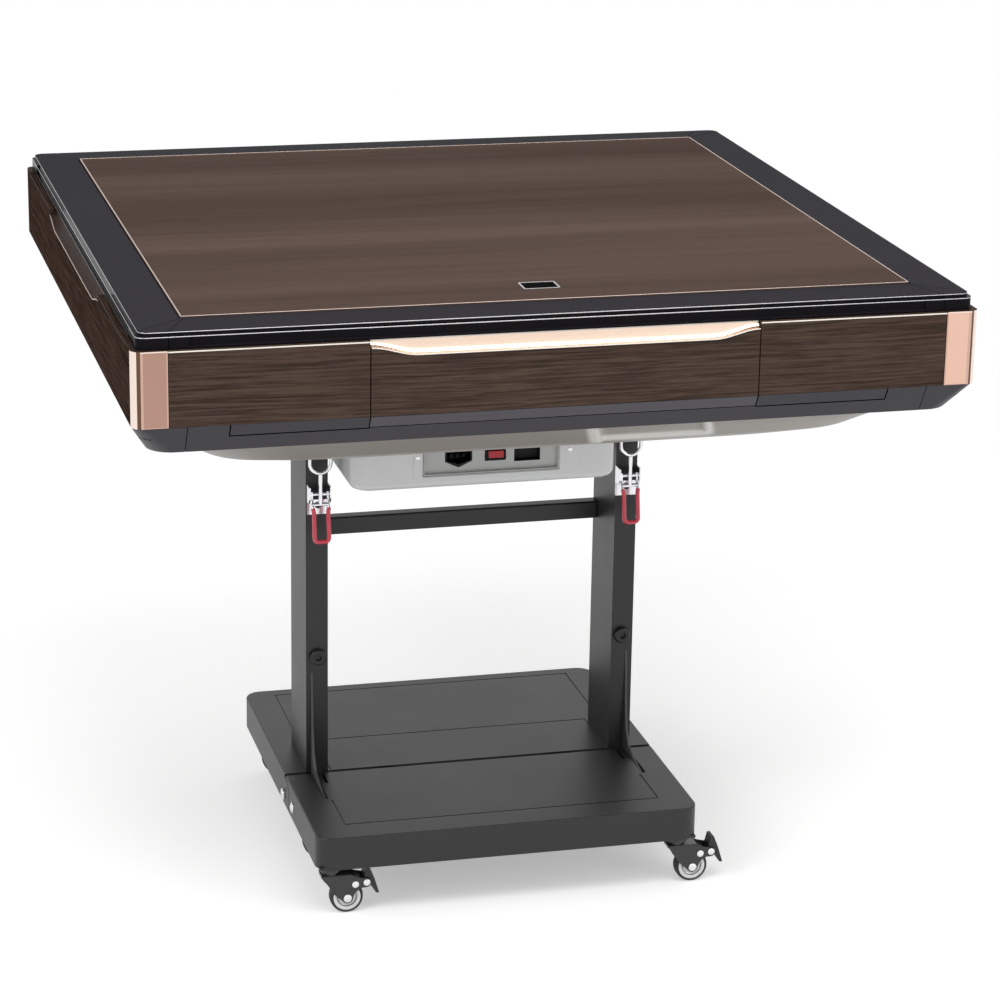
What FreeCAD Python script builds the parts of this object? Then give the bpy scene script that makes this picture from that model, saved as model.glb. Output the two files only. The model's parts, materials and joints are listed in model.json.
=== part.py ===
import FreeCAD, Part
import math
import os
import re
import Sketcher

# Automatic mahjong table on a wheeled folding stand.
# Millimetres, +Z up, front at -Y, origin on the floor below the centre of the top.

# Sizes in millimetres

SIZES = {
    # Casters
    "stem_inset": 21.2,
    "stem_y_front": -254,
    "stem_y_middle": -80,
    "stem_y_rear": 212,
    "trail": 20,
    "wheel_radius": 21,
    "wheel_width": 17,
    "wheel_edge": 3,
    "hub_radius": 12,
    "hub_dish": 2,
    "axle_play": 0.05,
    "axle_radius": 3,
    "axle_head_radius": 4.5,
    "axle_head_depth": 1.5,
    "axle_over": 0.5,
    "neck_radius": 14.5,
    "neck_tall": 11,
    "neck_ball_radius": 11,
    "race_tall": 4,
    "fork_roof": 4,
    "fork_front": 13,
    "fork_tip": 7,
    "cheek_inside": 9.5,
    "cheek_outside": 12,
    "fork_back": 22,
    "fork_back_braked": 50,
    "cheek_drop": 15,
    "pedal_axis_x": 44.5,
    "pedal_up": 19,
    "pedal_pin_radius": 2.5,
    "pedal_play": 0.05,
    "pedal_eye": 5,
    "pedal_half": 9,
    "pedal_room": 8,
    "pedal_toe_x": 61,
    "pedal_toe_up": 3,
    "pedal_thick": 4,
    # Folding stand
    "tray_half": 246.7,
    "tray_tall": 42.5,
    "caster_head": 26,
    "tray_back": 238,
    "deck_front": -62.5,
    "sheet_thick": 3,
    "plan_round": 22,
    "tongue_front": -90,
    "tongue_step": 5,
    "tongue_gap": 2,
    "tongue_round": 18,
    "channel_wall": 2,
    "channel_step": 12.5,
    "rear_plate_front": 185,
    "rib_half": 2,
    "line_width": 2,
    "line_depth": 1,
    "panel_margin": 38.7,
    "panel_back": 217,
    "panel_front": 43,
    "centre_margin": 21,
    "flap_front": -283,
    "flap_back": -69.5,
    "hinge_y": -68.5,
    "hinge_sunk": 5.5,
    "knuckle_radius": 2.4,
    "knuckle_near": 99.7,
    "knuckle_middle": 119.7,
    "knuckle_gap": 0.5,
    "knuckle_far": 140,
    "hinge_pin_radius": 1.2,
    "hinge_pin_play": 0.05,
    "hinge_pin_over": 1.5,
    "slot_play": 1.5,
    "slot_front": -156,
    "hook_slot_width": 4,
    "hook_slot_gap": 6.5,
    "hook_slot_front": -104,
    "flap_line_inset": 3,
    "flap_line_front": -242,
    "flap_line_back": -160,
    "foot_plate": 52,
    "foot_plate_thick": 3,
    "leg_width": 28.6,
    "leg_inset": 28.6,
    "leg_front": -62,
    "leg_back": 38.7,
    "leg_top": 620,
    "leg_wall": 2.5,
    "leg_cap": 6,
    "leg_slope_y": 28,
    "leg_slope_drop": 14,
    "rail_front": 20,
    "rail_low": 404.5,
    "rail_high": 427.5,
    "rail_edge": 3,
    "brace_inset": 9.1,
    "brace_thick": 3,
    "brace_high": 247,
    "brace_low": 96,
    "brace_tip": -152,
    "brace_knee_y": -67,
    "brace_knee_z": 180,
    "brace_bend_y": -74,
    "brace_bend_z": 140,
    "brace_heel_y": -88,
    "brace_heel_z": 120,
    "brace_toe_y": -112,
    "brace_toe_z": 112,
    "brace_end_z": 106,
    "leg_bolt_shift": 0.8,
    "leg_bolt_z": 269,
    "leg_bolt_radius": 10.5,
    "leg_bolt_depth": 7,
    "leg_bolt_edge": 2,
    "hex_flat": 4,
    "hex_depth": 4,
    "bolt_shank_radius": 5,
    "bolt_play": 0.05,
    "base_bolt_y": -61,
    "base_bolt_up": 14,
    "base_bolt_radius": 7.5,
    "base_bolt_depth": 4,
    "base_bolt_edge": 1.5,
    # Toggle latches on the legs
    "latch_plate_half": 14,
    "latch_tall": 40.5,
    "latch_drop": 118,
    "latch_plate_thick": 2,
    "cheek_gap": 0.4,
    "cheek_thick": 1.8,
    "latch_cheek_tall": 22,
    "latch_cheek_front": -82,
    "lever_y": -76,
    "lever_sunk": 10,
    "lever_pin_radius": 2.5,
    "lever_play": 0.05,
    "lever_near": 8,
    "lever_thick": 4,
    "lever_eye": 5,
    "grip_y": -98,
    "grip_reach": 60,
    "grip_thick": 6,
    "bail_y": -81.5,
    "bail_offset": 12,
    "bail_wire": 2,
    "bail_bar_radius": 2.5,
    "bail_bar_half": 11.8,
    "bail_stem_half": 2.6,
    "bail_stem": 37.5,
    "bail_ring_half": 15.5,
    "bail_ring_inner": 11,
    "bail_ring_tall": 31,
    "bail_round": 15,
    "bail_inner_round": 10.5,
    "latch_screw_sunk": 28.4,
    "latch_screw_radius": 4,
    "latch_screw_depth": 2,
    "catch_near": -72,
    "catch_far": -69,
    "catch_half": 9,
    "catch_drop": 80,
    "catch_lip": 3,
    "catch_lip_tall": 5,
    "catch_foot": -92,
    "catch_foot_thick": 3,
    # Tilt pivot at the head of the legs
    "tilt_y": 28,
    "tilt_drop": 34,
    "tilt_pin_radius": 6,
    "tilt_play": 0.05,
    "tilt_head_radius": 10,
    "tilt_head_depth": 4,
    "ear_gap": 1,
    "ear_thick": 4,
    "ear_half": 20,
    "ear_foot": 22,
    "ear_foot_thick": 3,
    # Machine carcass
    "apron_half": 497,
    "skirt_tall": 34.8,
    "apron_tall": 87.5,
    "apron_thick": 14,
    "post_flange": 40.5,
    "post_round": 13,
    "joint_gap": 0.6,
    "drawer_half": 228,
    "drawer_gap": 1.2,
    "rim_setback": 6.5,
    "rim_gap": 0.5,
    "rim_face": 14.6,
    "rim_step": 3.5,
    "rim_step_tall": 4.6,
    "rim_crowning": 1.3,
    "rim_width": 53.5,
    "ledge_width": 9.5,
    "ledge_sunk": 10.8,
    "rim_round": 12,
    "band_margin": 22.4,
    "band_up": 2.4,
    "corner_long": 36.5,
    "seam_lap": 2.5,
    "seam_slant": 5.5,
    "corner_short": 16.5,
    "side_seam_lap": 4.5,
    "side_seam_slant": 2.5,
    "skirt_lean": 21,
    "skirt_round_high": 15,
    "skirt_round_low": 30,
    "skirt_thick": 4,
    "skirt_flange_width": 15,
    "skirt_corner": 41,
    "strip_up": 20,
    "strip_margin": 47,
    "strip_line": 1.4,
    "strip_line_depth": 1.5,
    "belly_slope": 41,
    "belly_rim": 10.4,
    "belly_mouth_round": 60,
    "belly_waist_in": 55,
    "belly_bowl": 20,
    "belly_waist_round": 80,
    "belly_floor_in": 77,
    "belly_floor_round": 90,
    "belly_wall": 3,
    "chassis_lap": 9,
    "chassis_ring_width": 30,
    "chassis_ring_round": 26,
    "chassis_ring_tall": 14,
    "column_play": 0.1,
    "board_drop": 36.3,
    "deck_thick": 4.5,
    "deck_reach": 25,
    "board_thick": 8,
    "board_play": 2,
    "board_wall": 5,
    "console_gap": 2,
    "lifter_half": 185,
    "lifter_gap": 40,
    "lifter_width": 26,
    "lifter_line": 1.2,
    "beam_near": 100,
    "beam_width": 24,
    "hub_plate_half": 60,
    "spindle_radius": 19.7,
    "drum_gap": 82,
    "drum_up": 4,
    "drum_tall": 33,
    "drum_floor": 4,
    "drum_wall": 5,
    "spindle_play": 0.05,
    "drum_boss": 34,
    "console_radius": 82,
    "console_up": 9,
    "console_tall": 36,
    "console_edge": 5,
    "console_well_radius": 50,
    "console_well_depth": 3,
    # Control box and what it carries
    "box_gap": 17.5,
    "box_front": -130,
    "box_back": 18,
    "box_tall": 113,
    "box_round": 26,
    "box_edge": 9,
    "box_wall": 3,
    "panel_left": -82,
    "panel_right": 94,
    "panel_tall": 60,
    "panel_drop": 36,
    "panel_depth": 6,
    "panel_thick": 2,
    "panel_lip": 0.3,
    "inlet_left": -53,
    "inlet_right": -18,
    "inlet_tall": 24,
    "inlet_side": 16,
    "inlet_drop": 28,
    "inlet_deep": 26,
    "inlet_wall": 2,
    "inlet_floor": 3,
    "pin_half": 1.2,
    "pin_reach": 12,
    "pin_spread": 8,
    "pin_drop": 11,
    "rocker_left": -1.5,
    "rocker_right": 25.5,
    "rocker_tall": 14,
    "rocker_drop": 31.5,
    "bezel": 2,
    "rocker_play": 0.3,
    "rocker_deep": 14,
    "rocker_axis_deep": 8,
    "rocker_proud": 3,
    "rocker_pin_radius": 1.5,
    "port_left": 36.5,
    "port_right": 70,
    "port_tall": 16,
    "port_drop": 32,
    "port_depth": 10,
    # Cover and finger pull
    "cover_gap": 1.5,
    "cover_thick": 12,
    "cover_edge": 1.2,
    "pull_left": -23,
    "pull_right": 21.5,
    "pull_edge": 50,
    "pull_long": 32,
    "pull_wall": 2.5,
    "pull_floor": 2,
    "pull_deep": 11,
    "pull_play": 0.2,
    "pull_round": 3,
    # Drawers
    "handle_end": 8.3,
    "handle_tall": 18.3,
    "handle_slant": 54,
    "handle_proud": 1.2,
    "handle_seat": 11,
    "scoop_lip": 1.2,
    "scoop_wall": 2.5,
    "bin_inset": 14,
    "bin_long": 149,
    "bin_tall": 41,
    "bin_wall": 2.5,
    "bin_front": 2,
    "lip_gap": 0.7,
    "lip_play": 0.3,
}

# Sizes and places worked out from the ones above

WORKED = {
    # Casters
    "neck_low": "tray_low - neck_tall",
    "fork_top": "neck_low - race_tall",
    "axle_reach": "cheek_outside + axle_over",
    "bore_radius": "axle_radius + axle_play",
    "stem_x": "tray_half - stem_inset",
    "pedal_axis_z": "wheel_radius + pedal_up",
    "pedal_top_z": "tray_low - pedal_room",
    "pedal_toe_z": "wheel_radius + pedal_toe_up",
    # Folding stand
    "tray_low": "2*wheel_radius + caster_head",
    "tray_top": "tray_low + tray_tall",
    "tongue_top": "tray_top - tongue_step",
    "channel_top": "tray_top - channel_step",
    "hinge_z": "tray_top - hinge_sunk",
    "base_bolt_z": "tray_low + base_bolt_up",
    "leg_outer": "tray_half - leg_inset",
    "leg_inner": "leg_outer - leg_width",
    "brace_near": "leg_outer - brace_inset",
    "brace_far": "brace_near + brace_thick",
    "slot_near": "brace_near - slot_play",
    "slot_far": "brace_far + slot_play",
    "hook_slot_far": "slot_near - hook_slot_gap",
    "hook_slot_near": "hook_slot_far - hook_slot_width",
    "panel_half": "tray_half - panel_margin",
    "centre_half": "panel_half - centre_margin",
    "flap_line_x": "panel_half - flap_line_inset",
    "bolt_hole_radius": "bolt_shank_radius + bolt_play",
    "leg_bolt_x": "(leg_inner + leg_outer)/2 - leg_bolt_shift",
    # Toggle latches, hung below the machine's floor
    "latch_x": "leg_bolt_x",
    "latch_high": "belly_low - latch_drop",
    "latch_low": "latch_high - latch_tall",
    "latch_cheek_low": "latch_high - latch_cheek_tall",
    "lever_z": "latch_high - lever_sunk",
    "bail_z": "lever_z - bail_offset",
    "grip_low": "lever_z - grip_reach",
    "latch_screw_z": "latch_high - latch_screw_sunk",
    "bail_fork_z": "bail_z + bail_stem",
    "bail_ring_top": "bail_fork_z + bail_ring_tall",
    "catch_low": "belly_low - catch_drop",
    "catch_lip_high": "catch_low + catch_lip_tall",
    "lever_hole_radius": "lever_pin_radius + lever_play",
    "bail_hole_radius": "bail_bar_radius + lever_play",
    "lever_far": "lever_near + lever_thick",
    "cheek_near": "lever_far + cheek_gap",
    "cheek_far": "cheek_near + cheek_thick",
    # Tilt pivot
    "tilt_z": "belly_low - tilt_drop",
    "tilt_hole_radius": "tilt_pin_radius + tilt_play",
    # Machine, from the head of the legs up
    "belly_low": "leg_top",
    "belly_waist_z": "belly_low + belly_bowl",
    "belly_flange_low": "belly_waist_z + belly_slope",
    "skirt_floor": "belly_flange_low + belly_wall",
    "skirt_low": "skirt_floor - skirt_thick",
    "strip_low": "skirt_low + strip_up",
    "apron_low": "skirt_low + skirt_tall",
    "apron_high": "apron_low + apron_tall",
    "rim_low": "apron_high + rim_gap",
    "rim_face_top": "rim_low + rim_face",
    "rim_edge_top": "rim_face_top + rim_step_tall",
    "rim_crown": "rim_edge_top + rim_crowning",
    "rim_ledge_top": "rim_crown - ledge_sunk",
    "rim_band_low": "rim_low + band_up",
    "chassis_ring_top": "skirt_floor + chassis_ring_tall",
    "deck_ring_low": "rim_low - board_drop - deck_thick",
    "board_low": "rim_low - board_drop",
    "board_top": "board_low + board_thick",
    "drum_low": "chassis_ring_top + drum_up",
    "drum_high": "drum_low + drum_tall",
    "console_low": "drum_high + console_up",
    "console_high": "console_low + console_tall",
    "spindle_top": "console_low",
    # Machine, from the apron's face in
    "rim_half": "apron_half - rim_setback",
    "rim_edge_half": "rim_half - rim_step",
    "rim_inner": "rim_edge_half - rim_width",
    "rim_ledge": "rim_inner - ledge_width",
    "seam_x": "rim_half - corner_long",
    "seam_y": "rim_edge_half - seam_lap",
    "seam_top_x": "rim_inner - seam_slant",
    "side_seam_y": "rim_half - corner_short",
    "side_seam_x": "rim_edge_half - side_seam_lap",
    "side_seam_top": "rim_inner + side_seam_slant",
    "rim_band_half": "seam_x - band_margin",
    "skirt_half": "apron_half - skirt_lean",
    "skirt_flange": "skirt_half - skirt_flange_width",
    "skirt_seam": "skirt_half - skirt_corner",
    "strip_half": "skirt_seam - strip_margin",
    "belly_flange": "skirt_flange - joint_gap",
    "belly_mouth": "belly_flange - belly_rim",
    "belly_waist": "belly_mouth - belly_waist_in",
    "belly_floor": "belly_waist - belly_floor_in",
    "chassis_ring_half": "skirt_flange + chassis_lap",
    "chassis_ring_inner": "chassis_ring_half - chassis_ring_width",
    "column_outer": "apron_half - apron_thick - column_play",
    "deck_ring_inner": "chassis_ring_inner - deck_reach",
    "board_half": "chassis_ring_inner - board_play",
    "board_inner": "board_half - board_wall",
    "lifter_near": "bin_back - lifter_gap",
    "lifter_far": "lifter_near + lifter_width",
    "drum_radius": "bin_back - drum_gap",
    "drum_bore": "spindle_radius + spindle_play",
    "console_hole": "console_radius + console_gap",
    "beam_far": "beam_near + beam_width",
    # Control box
    "box_half": "leg_inner - box_gap",
    "box_low": "belly_low - box_tall",
    "panel_high": "belly_low - panel_drop",
    "panel_low": "panel_high - panel_tall",
    "inlet_high": "panel_high - inlet_drop",
    "inlet_shoulder": "inlet_high - inlet_side",
    "inlet_low": "inlet_high - inlet_tall",
    "pin_z": "inlet_high - pin_drop",
    "rocker_high": "panel_high - rocker_drop",
    "rocker_low": "rocker_high - rocker_tall",
    "port_high": "panel_high - port_drop",
    "port_low": "port_high - port_tall",
    "inlet_back": "box_front + inlet_deep",
    "rocker_back": "box_front + rocker_deep",
    "rocker_axis_y": "box_front + rocker_axis_deep",
    # Cover and finger pull
    "cover_half": "rim_inner - cover_gap",
    "cover_low": "rim_ledge_top",
    "cover_top": "cover_low + cover_thick",
    "pull_low": "cover_top - pull_deep",
    "pull_front": "pull_edge - cover_half",
    "pull_back": "pull_front + pull_long",
    # Drawers
    "handle_front": "apron_half + handle_proud",
    "handle_back": "apron_half - handle_seat",
    "handle_end_z": "apron_high - handle_end",
    "handle_low": "apron_high - handle_tall",
    "handle_shoulder": "drawer_half - handle_slant",
    "bin_half": "drawer_half - bin_inset",
    "bin_face": "apron_half - apron_thick - bin_front",
    "bin_back": "bin_face - bin_long",
    "bin_low": "apron_low + drawer_gap",
    "bin_high": "bin_low + bin_tall",
    "lip_low": "strip_low + lip_gap",
    "lip_high": "apron_low - lip_play",
}

doc = FreeCAD.newDocument("mahjong_table")
sheet = doc.addObject("Spreadsheet::Sheet", "Sizes")
cells = {}
nodes = []
for row, (word, value) in enumerate(SIZES.items()):
    cells[word] = "A%d" % (row + 1)
    sheet.set(cells[word], str(value))
    sheet.setAlias(cells[word], word)
doc.recompute()


def spell(text):
    """The same formula written with the sheet's own cells."""
    def spelled(hit):
        word = hit[0]
        if word in WORKED:
            return "(%s)" % spell(WORKED[word])
        return "Sizes." + word if word in cells else word
    return re.sub(r"[a-z][a-z_0-9]*", spelled, text)


def number(text):
    return float(sheet.evalExpression(spell(text)))


# Helpers for drawing the pieces

PLANES = {"XY": "XY_Plane", "XZ": "XZ_Plane", "YZ": "YZ_Plane"}


def new_body(name):
    return doc.addObject("PartDesign::Body", name)


def new_sketch(body, name, role, offset):
    sketch = body.newObject("Sketcher::SketchObject", name)
    plane = [p for p in body.Origin.OriginFeatures if p.Role == PLANES[role]][0]
    sketch.AttachmentSupport = [(plane, "")]
    sketch.MapMode = "FlatFace"
    sketch.setExpression("AttachmentOffset.Base.z", spell(offset))
    return sketch


def hold(sketch, rule, text):
    """Adds one dimension and binds it to its formula."""
    index = sketch.addConstraint(Sketcher.Constraint(*rule, number(text)))
    sketch.setExpression("Constraints[%d]" % index, spell(text))


def draw_corners(sketch, corners):
    """Closed outline; a corner with a third entry is rounded by that radius."""
    points = [FreeCAD.Vector(number(c[0]), number(c[1]), 0) for c in corners]
    radii = [number(c[2]) if len(c) > 2 else 0 for c in corners]
    count = len(points)
    starts = []
    ends = []
    for i, point in enumerate(points):
        before = (points[i - 1] - point).normalize()
        after = (points[(i + 1) % count] - point).normalize()
        starts.append(point + before * radii[i])
        ends.append(point + after * radii[i])
    lines = [
        sketch.addGeometry(Part.LineSegment(ends[i], starts[(i + 1) % count]), False)
        for i in range(count)
    ]
    arcs = {}
    for i in range(count):
        if radii[i]:
            middle = starts[i] + ends[i] - points[i]
            a = starts[i] - middle
            b = ends[i] - middle
            first = math.atan2(a.y, a.x)
            last = math.atan2(b.y, b.x)
            circle = Part.Circle(middle, FreeCAD.Vector(0, 0, 1), radii[i])
            if a.x * b.y - a.y * b.x > 0:
                arc = Part.ArcOfCircle(circle, first, last)
                arcs[i] = (sketch.addGeometry(arc, False), 1, 2)
            else:
                arc = Part.ArcOfCircle(circle, last, first)
                arcs[i] = (sketch.addGeometry(arc, False), 2, 1)
    for i in range(count):
        j = (i + 1) % count
        if i in arcs:
            arc, into, out = arcs[i]
            sketch.addConstraint(Sketcher.Constraint("Tangent", lines[i - 1], 2, arc, into))
            sketch.addConstraint(Sketcher.Constraint("Tangent", arc, out, lines[i], 1))
            hold(sketch, ("Radius", arc), corners[i][2])
        else:
            sketch.addConstraint(Sketcher.Constraint("Coincident", lines[i - 1], 2, lines[i], 1))
            hold(sketch, ("DistanceX", -1, 1, lines[i], 1), corners[i][0])
            hold(sketch, ("DistanceY", -1, 1, lines[i], 1), corners[i][1])
        if i in arcs or j in arcs:
            upright = corners[i][0] == corners[j][0]
            rule = "Vertical" if upright else "Horizontal"
            sketch.addConstraint(Sketcher.Constraint(rule, lines[i]))
            if i in arcs and j in arcs:
                axis = "DistanceX" if upright else "DistanceY"
                hold(sketch, (axis, -1, 1, lines[i], 1), corners[i][0 if upright else 1])


def draw_circle(sketch, across, up, radius):
    middle = FreeCAD.Vector(number(across), number(up), 0)
    circle = Part.Circle(middle, FreeCAD.Vector(0, 0, 1), number(radius))
    ring = sketch.addGeometry(circle, False)
    hold(sketch, ("Radius", ring), radius)
    hold(sketch, ("DistanceX", -1, 1, ring, 3), across)
    hold(sketch, ("DistanceY", -1, 1, ring, 3), up)


def extrude(body, name, role, draw, low, high, cut):
    """Pads or pockets a drawing between two levels along the plane's axis."""
    offset = "-(%s)" % high if role == "XZ" else low
    sketch = new_sketch(body, name + "_outline", role, offset)
    draw(sketch)
    step = body.newObject("PartDesign::Pocket" if cut else "PartDesign::Pad", name)
    step.Profile = sketch
    step.Type = "Length"
    if cut:
        step.Reversed = True
    step.setExpression("Length", spell("(%s) - (%s)" % (high, low)))
    doc.recompute()
    return step


def slab(body, name, role, corners, low, high, cut=False):
    return extrude(body, name, role, lambda sk: draw_corners(sk, corners), low, high, cut)


def disc(body, name, role, middle, radius, low, high, cut=False):
    """Round pad or hole; middle is the centre in the plane's own two axes."""
    return extrude(body, name, role, lambda sk: draw_circle(sk, *middle, radius), low, high, cut)


def block(body, name, x, y, z, cut=False):
    """Square-cornered pad or pocket between pairs of levels."""
    corners = [(x[0], y[0]), (x[1], y[0]), (x[1], y[1]), (x[0], y[1])]
    return slab(body, name, "XY", corners, z[0], z[1], cut)


def frame_corners(half, radius):
    """A square about the centre with rounded corners."""
    return [
        ("-(%s)" % half, "-(%s)" % half, radius),
        (half, "-(%s)" % half, radius),
        (half, half, radius),
        ("-(%s)" % half, half, radius),
    ]


def loft(body, name, sections, cut=False):
    """Straight walls through rounded squares: (half, radius, level) each."""
    sketches = []
    for i, (half, radius, level) in enumerate(sections):
        sketch = new_sketch(body, "%s_outline_%d" % (name, i), "XY", level)
        draw_corners(sketch, frame_corners(half, radius))
        sketches.append(sketch)
    kind = "PartDesign::SubtractiveLoft" if cut else "PartDesign::AdditiveLoft"
    step = body.newObject(kind, name)
    step.Profile = sketches[0]
    step.Sections = sketches[1:]
    step.Ruled = True
    doc.recompute()
    return step


def soften(body, name, choose, radius):
    """Rounds the edges of the body's last feature that choose() accepts."""
    last = body.Tip
    picked = ["Edge%d" % (i + 1) for i, edge in enumerate(last.Shape.Edges) if choose(edge)]
    step = body.newObject("PartDesign::Fillet", name)
    step.Base = (last, picked)
    step.setExpression("Radius", spell(radius))
    doc.recompute()
    return step


def lies_at(edge, axis, level):
    """True if the whole edge lies at one level along an axis."""
    box = edge.BoundBox
    low = {"x": box.XMin, "y": box.YMin, "z": box.ZMin}[axis]
    high = {"x": box.XMax, "y": box.YMax, "z": box.ZMax}[axis]
    near = number("sheet_thick") / 100
    return abs(low - level) < near and abs(high - level) < near


def mirror(name, source, normal):
    copy = doc.addObject("Part::Mirroring", name)
    copy.Source = source
    copy.Base = FreeCAD.Vector()
    copy.Normal = FreeCAD.Vector(*normal)
    doc.recompute()
    return copy


ACROSS = (1, 0, 0)
ALONG = (0, 1, 0)
DIAGONAL = (1, -1, 0)


def group(name, pieces):
    whole = doc.addObject("Part::Compound", name)
    whole.Links = pieces
    doc.recompute()
    return whole


def overlap(name, first, second):
    both = doc.addObject("Part::MultiCommon", name)
    both.Shapes = [first, second]
    doc.recompute()
    return both


def keep(piece, name):
    """Marks a finished sub-part."""
    piece.Label = name
    nodes.append((name, piece))


# Rear tray: pressed deck, crossmember for the middle casters and hinge knuckles


def tray_deck(body, front, back, corner_front, corner_back, low, cut, name):
    left = "-tray_half" if not cut else "-tray_half + sheet_thick"
    right = "tray_half" if not cut else "tray_half - sheet_thick"
    corners = [
        (left, front, corner_front) if corner_front else (left, front),
        (right, front, corner_front) if corner_front else (right, front),
        (right, back, corner_back) if corner_back else (right, back),
        (left, back, corner_back) if corner_back else (left, back),
    ]
    high = "tray_top" if not cut else "tray_top - sheet_thick"
    return slab(body, name, "XY", corners, low, high, cut)


def groove(body, name, x, y):
    """A fine pressed line in a deck."""
    block(body, name, x, y, ("tray_top - line_depth", "tray_top"), cut=True)


def rear_tray():
    body = new_body("rear_tray_body")
    tray_deck(body, "deck_front", "tray_back", None, "plan_round", "tray_low", False, "shell")
    soften(body, "top_edge", lambda e: lies_at(e, "z", number("tray_top"))
           and not lies_at(e, "y", number("deck_front")), "sheet_thick - line_depth")
    tray_deck(body, "deck_front + channel_wall", "tray_back - sheet_thick", None,
              "plan_round - sheet_thick", "tray_low", True, "hollow")
    tongue = [
        ("deck_front", "tray_low"),
        ("deck_front", "tongue_top"),
        ("tongue_front", "tongue_top", "tongue_round"),
        ("tongue_front", "tray_low"),
    ]
    slab(body, "left_tongue", "YZ", tongue, "-tray_half", "-tray_half + sheet_thick")
    slab(body, "right_tongue", "YZ", tongue, "tray_half - sheet_thick", "tray_half")
    span = ("-tray_half + sheet_thick", "tray_half - sheet_thick")
    block(body, "channel_floor", span, ("tongue_front", "deck_front"),
          ("tray_low", "tray_low + sheet_thick"))
    block(body, "channel_front", span, ("tongue_front", "tongue_front + channel_wall"),
          ("tray_low", "channel_top"))
    block(body, "rear_floor", span, ("rear_plate_front", "tray_back - sheet_thick"),
          ("tray_low", "tray_low + sheet_thick"))
    for side, sign in (("left", "-"), ("right", "")):
        middle = "%s(leg_inner + leg_outer)/2" % sign
        block(body, side + "_rib", (middle + " - rib_half", middle + " + rib_half"),
              ("deck_front", "tray_back - sheet_thick"),
              ("tray_low + sheet_thick", "tray_top - sheet_thick"))
    for side, low, high in (("left", "-knuckle_far", "-knuckle_middle - knuckle_gap"),
                            ("right", "knuckle_middle + knuckle_gap", "knuckle_far")):
        block(body, side + "_leaf", (low, high), ("hinge_y", "deck_front"),
              ("hinge_z - knuckle_radius", "hinge_z"))
        disc(body, side + "_knuckle", "YZ", ("hinge_y", "hinge_z"), "knuckle_radius", low, high)
        disc(body, side + "_knuckle_bore", "YZ", ("hinge_y", "hinge_z"),
             "hinge_pin_radius + hinge_pin_play", low, high, cut=True)
    groove(body, "rear_line", ("-panel_half", "panel_half"),
           ("panel_back", "panel_back + line_width"))
    groove(body, "middle_line", ("-centre_half", "centre_half"),
           ("panel_front", "panel_front + line_width"))
    for side, sign in (("left", "-"), ("right", "")):
        edge = "%s(panel_half - line_width/2)" % sign
        groove(body, side + "_panel_line", (edge + " - line_width/2", edge + " + line_width/2"),
               ("panel_front", "panel_back"))
        edge = "%s(centre_half - line_width/2)" % sign
        groove(body, side + "_centre_line", (edge + " - line_width/2", edge + " + line_width/2"),
               ("deck_front", "panel_front"))
    disc(body, "bolt_holes", "YZ", ("base_bolt_y", "base_bolt_z"), "bolt_hole_radius",
         "-tray_half - sheet_thick", "tray_half + sheet_thick", cut=True)
    keep(body, "rear_tray")


# Front tray: folds up against the legs


def front_tray():
    body = new_body("front_tray_body")
    tray_deck(body, "flap_front", "flap_back", "plan_round", None, "tray_low", False, "shell")
    soften(body, "top_edge", lambda e: lies_at(e, "z", number("tray_top"))
           and not lies_at(e, "y", number("flap_back")), "sheet_thick - line_depth")
    tray_deck(body, "flap_front + sheet_thick", "flap_back", "plan_round - sheet_thick",
              None, "tray_low", True, "hollow")
    clearing = [
        ("flap_back", "tray_low"),
        ("flap_back", "tongue_top + tongue_gap"),
        ("tongue_front - tongue_gap", "tongue_top + tongue_gap", "tongue_round"),
        ("tongue_front - tongue_gap", "tray_low"),
    ]
    slab(body, "tongue_room", "YZ", clearing, "-tray_half", "tray_half", cut=True)
    for side, sign in (("left", -1), ("right", 1)):
        def span(near, far):
            return ("-" + far, "-" + near) if sign < 0 else (near, far)
        block(body, side + "_brace_slot", span("slot_near", "slot_far"),
              ("slot_front", "flap_back"), ("tray_low", "tray_top"), cut=True)
        block(body, side + "_hook_slot", span("hook_slot_near", "hook_slot_far"),
              ("hook_slot_front", "flap_back"), ("tray_low", "tray_top"), cut=True)
        groove(body, side + "_line", span("(flap_line_x - line_width)", "flap_line_x"),
               ("flap_line_front", "flap_line_back"))
        block(body, side + "_foot_plate",
              span("(tray_half - foot_plate)", "(tray_half - sheet_thick)"),
              ("flap_front + sheet_thick", "flap_front + foot_plate"),
              ("tray_low", "tray_low + foot_plate_thick"))
    for side, low, high in (("left", "-knuckle_middle", "-knuckle_near"),
                            ("right", "knuckle_near", "knuckle_middle")):
        block(body, side + "_leaf", (low, high), ("hinge_y - 2*knuckle_radius", "hinge_y"),
              ("hinge_z", "tray_top - sheet_thick"))
        disc(body, side + "_knuckle", "YZ", ("hinge_y", "hinge_z"), "knuckle_radius", low, high)
        disc(body, side + "_knuckle_bore", "YZ", ("hinge_y", "hinge_z"),
             "hinge_pin_radius + hinge_pin_play", low, high, cut=True)
    groove(body, "front_line", ("-flap_line_x", "flap_line_x"),
           ("flap_line_front", "flap_line_front + line_width"))
    keep(body, "front_tray")


def fold_pins():
    pins = []
    for side, low, high in (("left", "-knuckle_far", "-knuckle_near + hinge_pin_over"),
                            ("right", "knuckle_near - hinge_pin_over", "knuckle_far")):
        body = new_body(side + "_fold_pin")
        disc(body, "shaft", "YZ", ("hinge_y", "hinge_z"), "hinge_pin_radius", low, high)
        pins.append(body)
    keep(group("fold_pin_pair", pins), "fold_hinge_pins")


# Legs, cross rail and braces


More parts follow.
